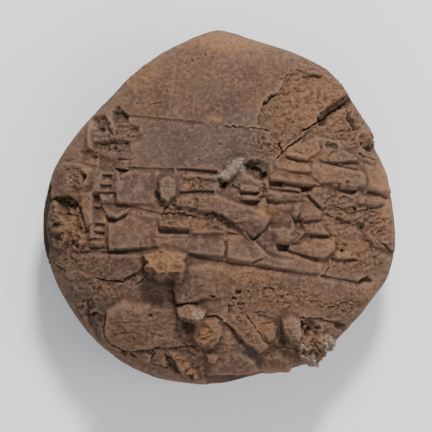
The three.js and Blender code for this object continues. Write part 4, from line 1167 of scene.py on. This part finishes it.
def clay():
    recipe = Recipe("fired_clay", 0.9, 0.2)
    dull_brown, soft_brown, tan_brown = tone(70, 53, 46), tone(86, 66, 56), tone(90, 65, 49)
    dark_tan, light_tan = tone(86, 64, 49), tone(105, 78, 59)
    coats = (
        # field, colour, strength, size of its patches or none
        ("warm", tone(124, 88, 59), 1.0, 1.4),
        ("grey", tone(71, 64, 58), 1.0, 4.5),
        ("crust", tone(127, 110, 92), 1.0, 1.4),
        # Lighter on raised edges and along scratches: partly wear, partly a painted highlight.
        ("worn", tone(122, 96, 77), 0.55, None),
        # Painted shade in hollows.
        ("hollow", tone(42, 31, 25), 0.42, None),
        # Dirt together with painted shade: darker in grooves, strokes, bowls and pits, and painted shadows
        # below lumps and along the rim.
        ("dirt", tone(36, 27, 21), 0.55, None),
        # Painted shade inside cracks.
        ("crack", tone(25, 17, 13), 0.6, None),
    )
    mottling = recipe.ramp(recipe.noise(9.0, 3.5, 0.55), 0.38, 0.64)
    clouds = recipe.ramp(recipe.noise(19.0, 3.0, 0.5), 0.4, 0.62)
    colour = recipe.mix(mottling, dull_brown, soft_brown)
    colour = recipe.mix(recipe.math("MULTIPLY", clouds, 0.55), colour, tan_brown)
    tan_spots = recipe.ramp(recipe.noise(2.4, 5.0, 0.6), 0.35, 0.65)
    torn_clay = recipe.mix(tan_spots, dark_tan, light_tan)
    colour = recipe.mix(recipe.math("MULTIPLY", recipe.field("broken"), 0.8), colour, torn_clay)
    for field, coat, strength, patch in coats:
        share = strength
        if patch:
            share = recipe.ramp(recipe.noise(patch, 4.0, 0.6), 0.3, 0.7, 0.45, strength)
        colour = recipe.mix(recipe.math("MULTIPLY", recipe.field(field), share), colour, coat)
    for size, low, high in ((1.8, 0.95, 1.05), (0.5, 0.87, 1.13)):
        specks = recipe.ramp(recipe.noise(size, 3.0, 0.7), 0.34, 0.66, low, high)
        speck_tint = recipe.nodes.new("ShaderNodeCombineColor")
        for socket in speck_tint.inputs:
            recipe.links.new(specks, socket)
        colour = recipe.mix(1.0, colour, speck_tint.outputs[0], "MULTIPLY")
    dark_grit = recipe.ramp(recipe.noise(0.7, 2.0, 0.5), 0.67, 0.74, 0.0, 0.35)
    colour = recipe.mix(dark_grit, colour, tone(45, 34, 27))
    pale_grit = recipe.ramp(recipe.noise(0.8, 2.0, 0.5, (1.0, 1.3, 1.0)), 0.7, 0.78, 0.0, 0.35)
    colour = recipe.mix(pale_grit, colour, tone(151, 128, 104))
    coarse = recipe.ramp(recipe.field("broken"), 0.0, 0.6, 0.5, 1.1)
    bumps = [
        (recipe.math("MULTIPLY", recipe.noise(1.3, 4.0, 0.7), coarse), 0.35, 1.0),
        (recipe.noise(0.9, 3.0, 0.7, (0.3, 1.0, 1.0)), 0.14, 1.0),
        (recipe.math("MULTIPLY", recipe.noise(0.5, 3.0, 0.8), coarse), 0.25, 1.0),
    ]
    return recipe.finish(colour, bumps)


def crust_mineral():
    recipe = Recipe("crust_mineral", 0.75, 0.35)
    cloudy = recipe.ramp(recipe.noise(0.8, 3.0), 0.3, 0.7)
    colour = recipe.mix(cloudy, tone(98, 84, 70), tone(154, 140, 122))
    return recipe.finish(colour, [(recipe.noise(0.3, 3.0), 0.05, 0.7)])


def pale_floor():
    recipe = Recipe("pale_floor", 0.85, 0.2)
    colour = recipe.mix(recipe.noise(160.0, 2.0), tone(233, 233, 235), tone(238, 238, 239))
    return recipe.finish(colour, [])


# Grains that stand on the skin

def grain_tree(name):
    """Strews small stones where a field of the skin is strong."""
    tree = bpy.data.node_groups.new(name, "GeometryNodeTree")
    sockets = tree.interface
    sockets.new_socket("Geometry", in_out="INPUT", socket_type="NodeSocketGeometry")
    for label in ("Grains per square metre", "Smallest", "Largest", "Lean"):
        sockets.new_socket(label, in_out="INPUT", socket_type="NodeSocketFloat")
    sockets.new_socket("Field", in_out="INPUT", socket_type="NodeSocketString")
    sockets.new_socket("Material", in_out="INPUT", socket_type="NodeSocketMaterial")
    sockets.new_socket("Geometry", in_out="OUTPUT", socket_type="NodeSocketGeometry")
    nodes, links = tree.nodes, tree.links
    given = nodes.new("NodeGroupInput")
    field = nodes.new("GeometryNodeInputNamedAttribute")
    field.data_type = "FLOAT"
    strong = nodes.new("ShaderNodeMapRange")
    for socket, amount in zip(strong.inputs[1:5], (0.35, 0.75, 0.0, 1.0)):
        socket.default_value = amount
    density = nodes.new("ShaderNodeMath")
    density.operation = "MULTIPLY"
    strew = nodes.new("GeometryNodeDistributePointsOnFaces")
    strew.distribute_method = "RANDOM"
    strew.inputs["Seed"].default_value = 4
    size, squash, turn = (nodes.new("FunctionNodeRandomValue") for _ in range(3))
    for node, kind, seed in ((size, "FLOAT", 9), (squash, "FLOAT_VECTOR", 13), (turn, "FLOAT_VECTOR", 21)):
        node.data_type = kind
        node.inputs["Seed"].default_value = seed
    squash.inputs[0].default_value = (0.6, 0.6, 0.5)
    squash.inputs[1].default_value = (1.2, 1.2, 1.0)
    scale = nodes.new("ShaderNodeVectorMath")
    scale.operation = "SCALE"
    lean_low = nodes.new("ShaderNodeCombineXYZ")
    lean_high = nodes.new("ShaderNodeCombineXYZ")
    lean_high.inputs[2].default_value = 2 * math.pi
    less = nodes.new("ShaderNodeMath")
    less.operation = "MULTIPLY"
    less.inputs[1].default_value = -1.0
    tilt = nodes.new("FunctionNodeRotateRotation")
    tilt.rotation_space = "LOCAL"
    stone = nodes.new("GeometryNodeMeshIcoSphere")
    stone.inputs["Radius"].default_value = 1.0
    stone.inputs["Subdivisions"].default_value = 1
    place = nodes.new("GeometryNodeInstanceOnPoints")
    real = nodes.new("GeometryNodeRealizeInstances")
    coat = nodes.new("GeometryNodeSetMaterial")
    result = nodes.new("NodeGroupOutput")
    joins = (
        (given, "Field", field, "Name"),
        (field, 0, strong, 0),
        (strong, 0, density, 0),
        (given, "Grains per square metre", density, 1),
        (given, "Geometry", strew, "Mesh"),
        (density, 0, strew, "Density"),
        (given, "Smallest", size, 2),
        (given, "Largest", size, 3),
        (squash, 0, scale, 0),
        (size, 1, scale, "Scale"),
        (given, "Lean", less, 0),
        (less, 0, lean_low, 0),
        (less, 0, lean_low, 1),
        (given, "Lean", lean_high, 0),
        (given, "Lean", lean_high, 1),
        (lean_low, 0, turn, 0),
        (lean_high, 0, turn, 1),
        (strew, "Rotation", tilt, 0),
        (turn, 0, tilt, 1),
        (strew, "Points", place, "Points"),
        (stone, "Mesh", place, "Instance"),
        (tilt, 0, place, "Rotation"),
        (scale, 0, place, "Scale"),
        (place, 0, real, 0),
        (real, 0, coat, "Geometry"),
        (given, "Material", coat, "Material"),
        (coat, 0, result, 0),
    )
    for source, output, goal, entry in joins:
        links.new(source.outputs[output], goal.inputs[entry])
    return tree


def strew_grains(name, skin, field, material, per_square_cm, smallest, largest, lean):
    """Grains, sized in millimetres and leant by up to some radians, as one plain mesh."""
    carrier = bpy.data.objects.new(name + "_carrier", skin.data.copy())
    bpy.context.scene.collection.objects.link(carrier)
    tree = grain_tree(name)
    strewn = carrier.modifiers.new("strewn", "NODES")
    strewn.node_group = tree
    values = {
        "Grains per square metre": per_square_cm * 1e4,
        "Smallest": smallest * MM,
        "Largest": largest * MM,
        "Lean": lean,
        "Field": field,
        "Material": material,
    }
    for item in tree.interface.items_tree:
        if item.in_out == "INPUT" and item.name in values:
            strewn[item.identifier] = values[item.name]
    grains = applied(carrier, name)
    bpy.data.objects.remove(carrier)
    return grains


# The scene

def look_down():
    """The camera, straight above, with the tablet as large in the frame as in the photo."""
    camera = bpy.data.objects.new("camera", bpy.data.cameras.new("camera"))
    bpy.context.scene.collection.objects.link(camera)
    camera.location = Vector((*FRAME_MIDDLE, RIM_Z + CAMERA_HEIGHT)) * MM
    frame_width = 2 * HALF * FRAME_PIXELS / TABLET_PIXELS
    camera.data.lens = camera.data.sensor_width * CAMERA_HEIGHT / frame_width
    camera.data.clip_start = 0.01
    camera.data.clip_end = 20
    bpy.context.scene.camera = camera


def lamp(name, direction, distance, size, energy, colour):
    """A square lamp that faces the tablet from a direction."""
    data = bpy.data.lights.new(name, "AREA")
    data.size = size
    data.energy = energy
    data.color = colour
    made = bpy.data.objects.new(name, data)
    bpy.context.scene.collection.objects.link(made)
    towards = Vector(direction).normalized()
    made.location = towards * distance
    made.rotation_euler = towards.to_track_quat("Z", "Y").to_euler()


def light_studio():
    for name, settings in LAMPS.items():
        lamp(name, *settings)
    world = bpy.data.worlds.new("studio")
    world.use_nodes = True
    sky = world.node_tree.nodes["Background"]
    sky.inputs["Color"].default_value = SKY_COLOUR
    sky.inputs["Strength"].default_value = SKY_STRENGTH
    bpy.context.scene.world = world


def lay_floor():
    ways = ((-1, -1), (1, -1), (1, 1), (-1, 1))
    corners = [(x * FLOOR_REACH * MM, y * FLOOR_REACH * MM, -FLOOR_GAP * MM) for x, y in ways]
    floor = mesh_object("floor", np.array(corners), np.array([[0, 1, 2], [0, 2, 3]]))
    floor.data.materials.append(pale_floor())


look_down()
light_studio()
lay_floor()

tablet = make_tablet()
clay_finish = clay()
tablet.data.materials.append(clay_finish)
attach(tablet, "root")
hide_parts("tablet")

mineral_finish = crust_mineral()
crust_grains = strew_grains(
    "crust_grains", tablet, "crust", mineral_finish, per_square_cm=700, smallest=0.1, largest=0.3, lean=3.0
)
clay_crumbs = strew_grains(
    "clay_crumbs", tablet, "broken", clay_finish, per_square_cm=130, smallest=0.08, largest=0.26, lean=3.0
)
for strewn_piece in (crust_grains, clay_crumbs):
    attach(strewn_piece, "root")
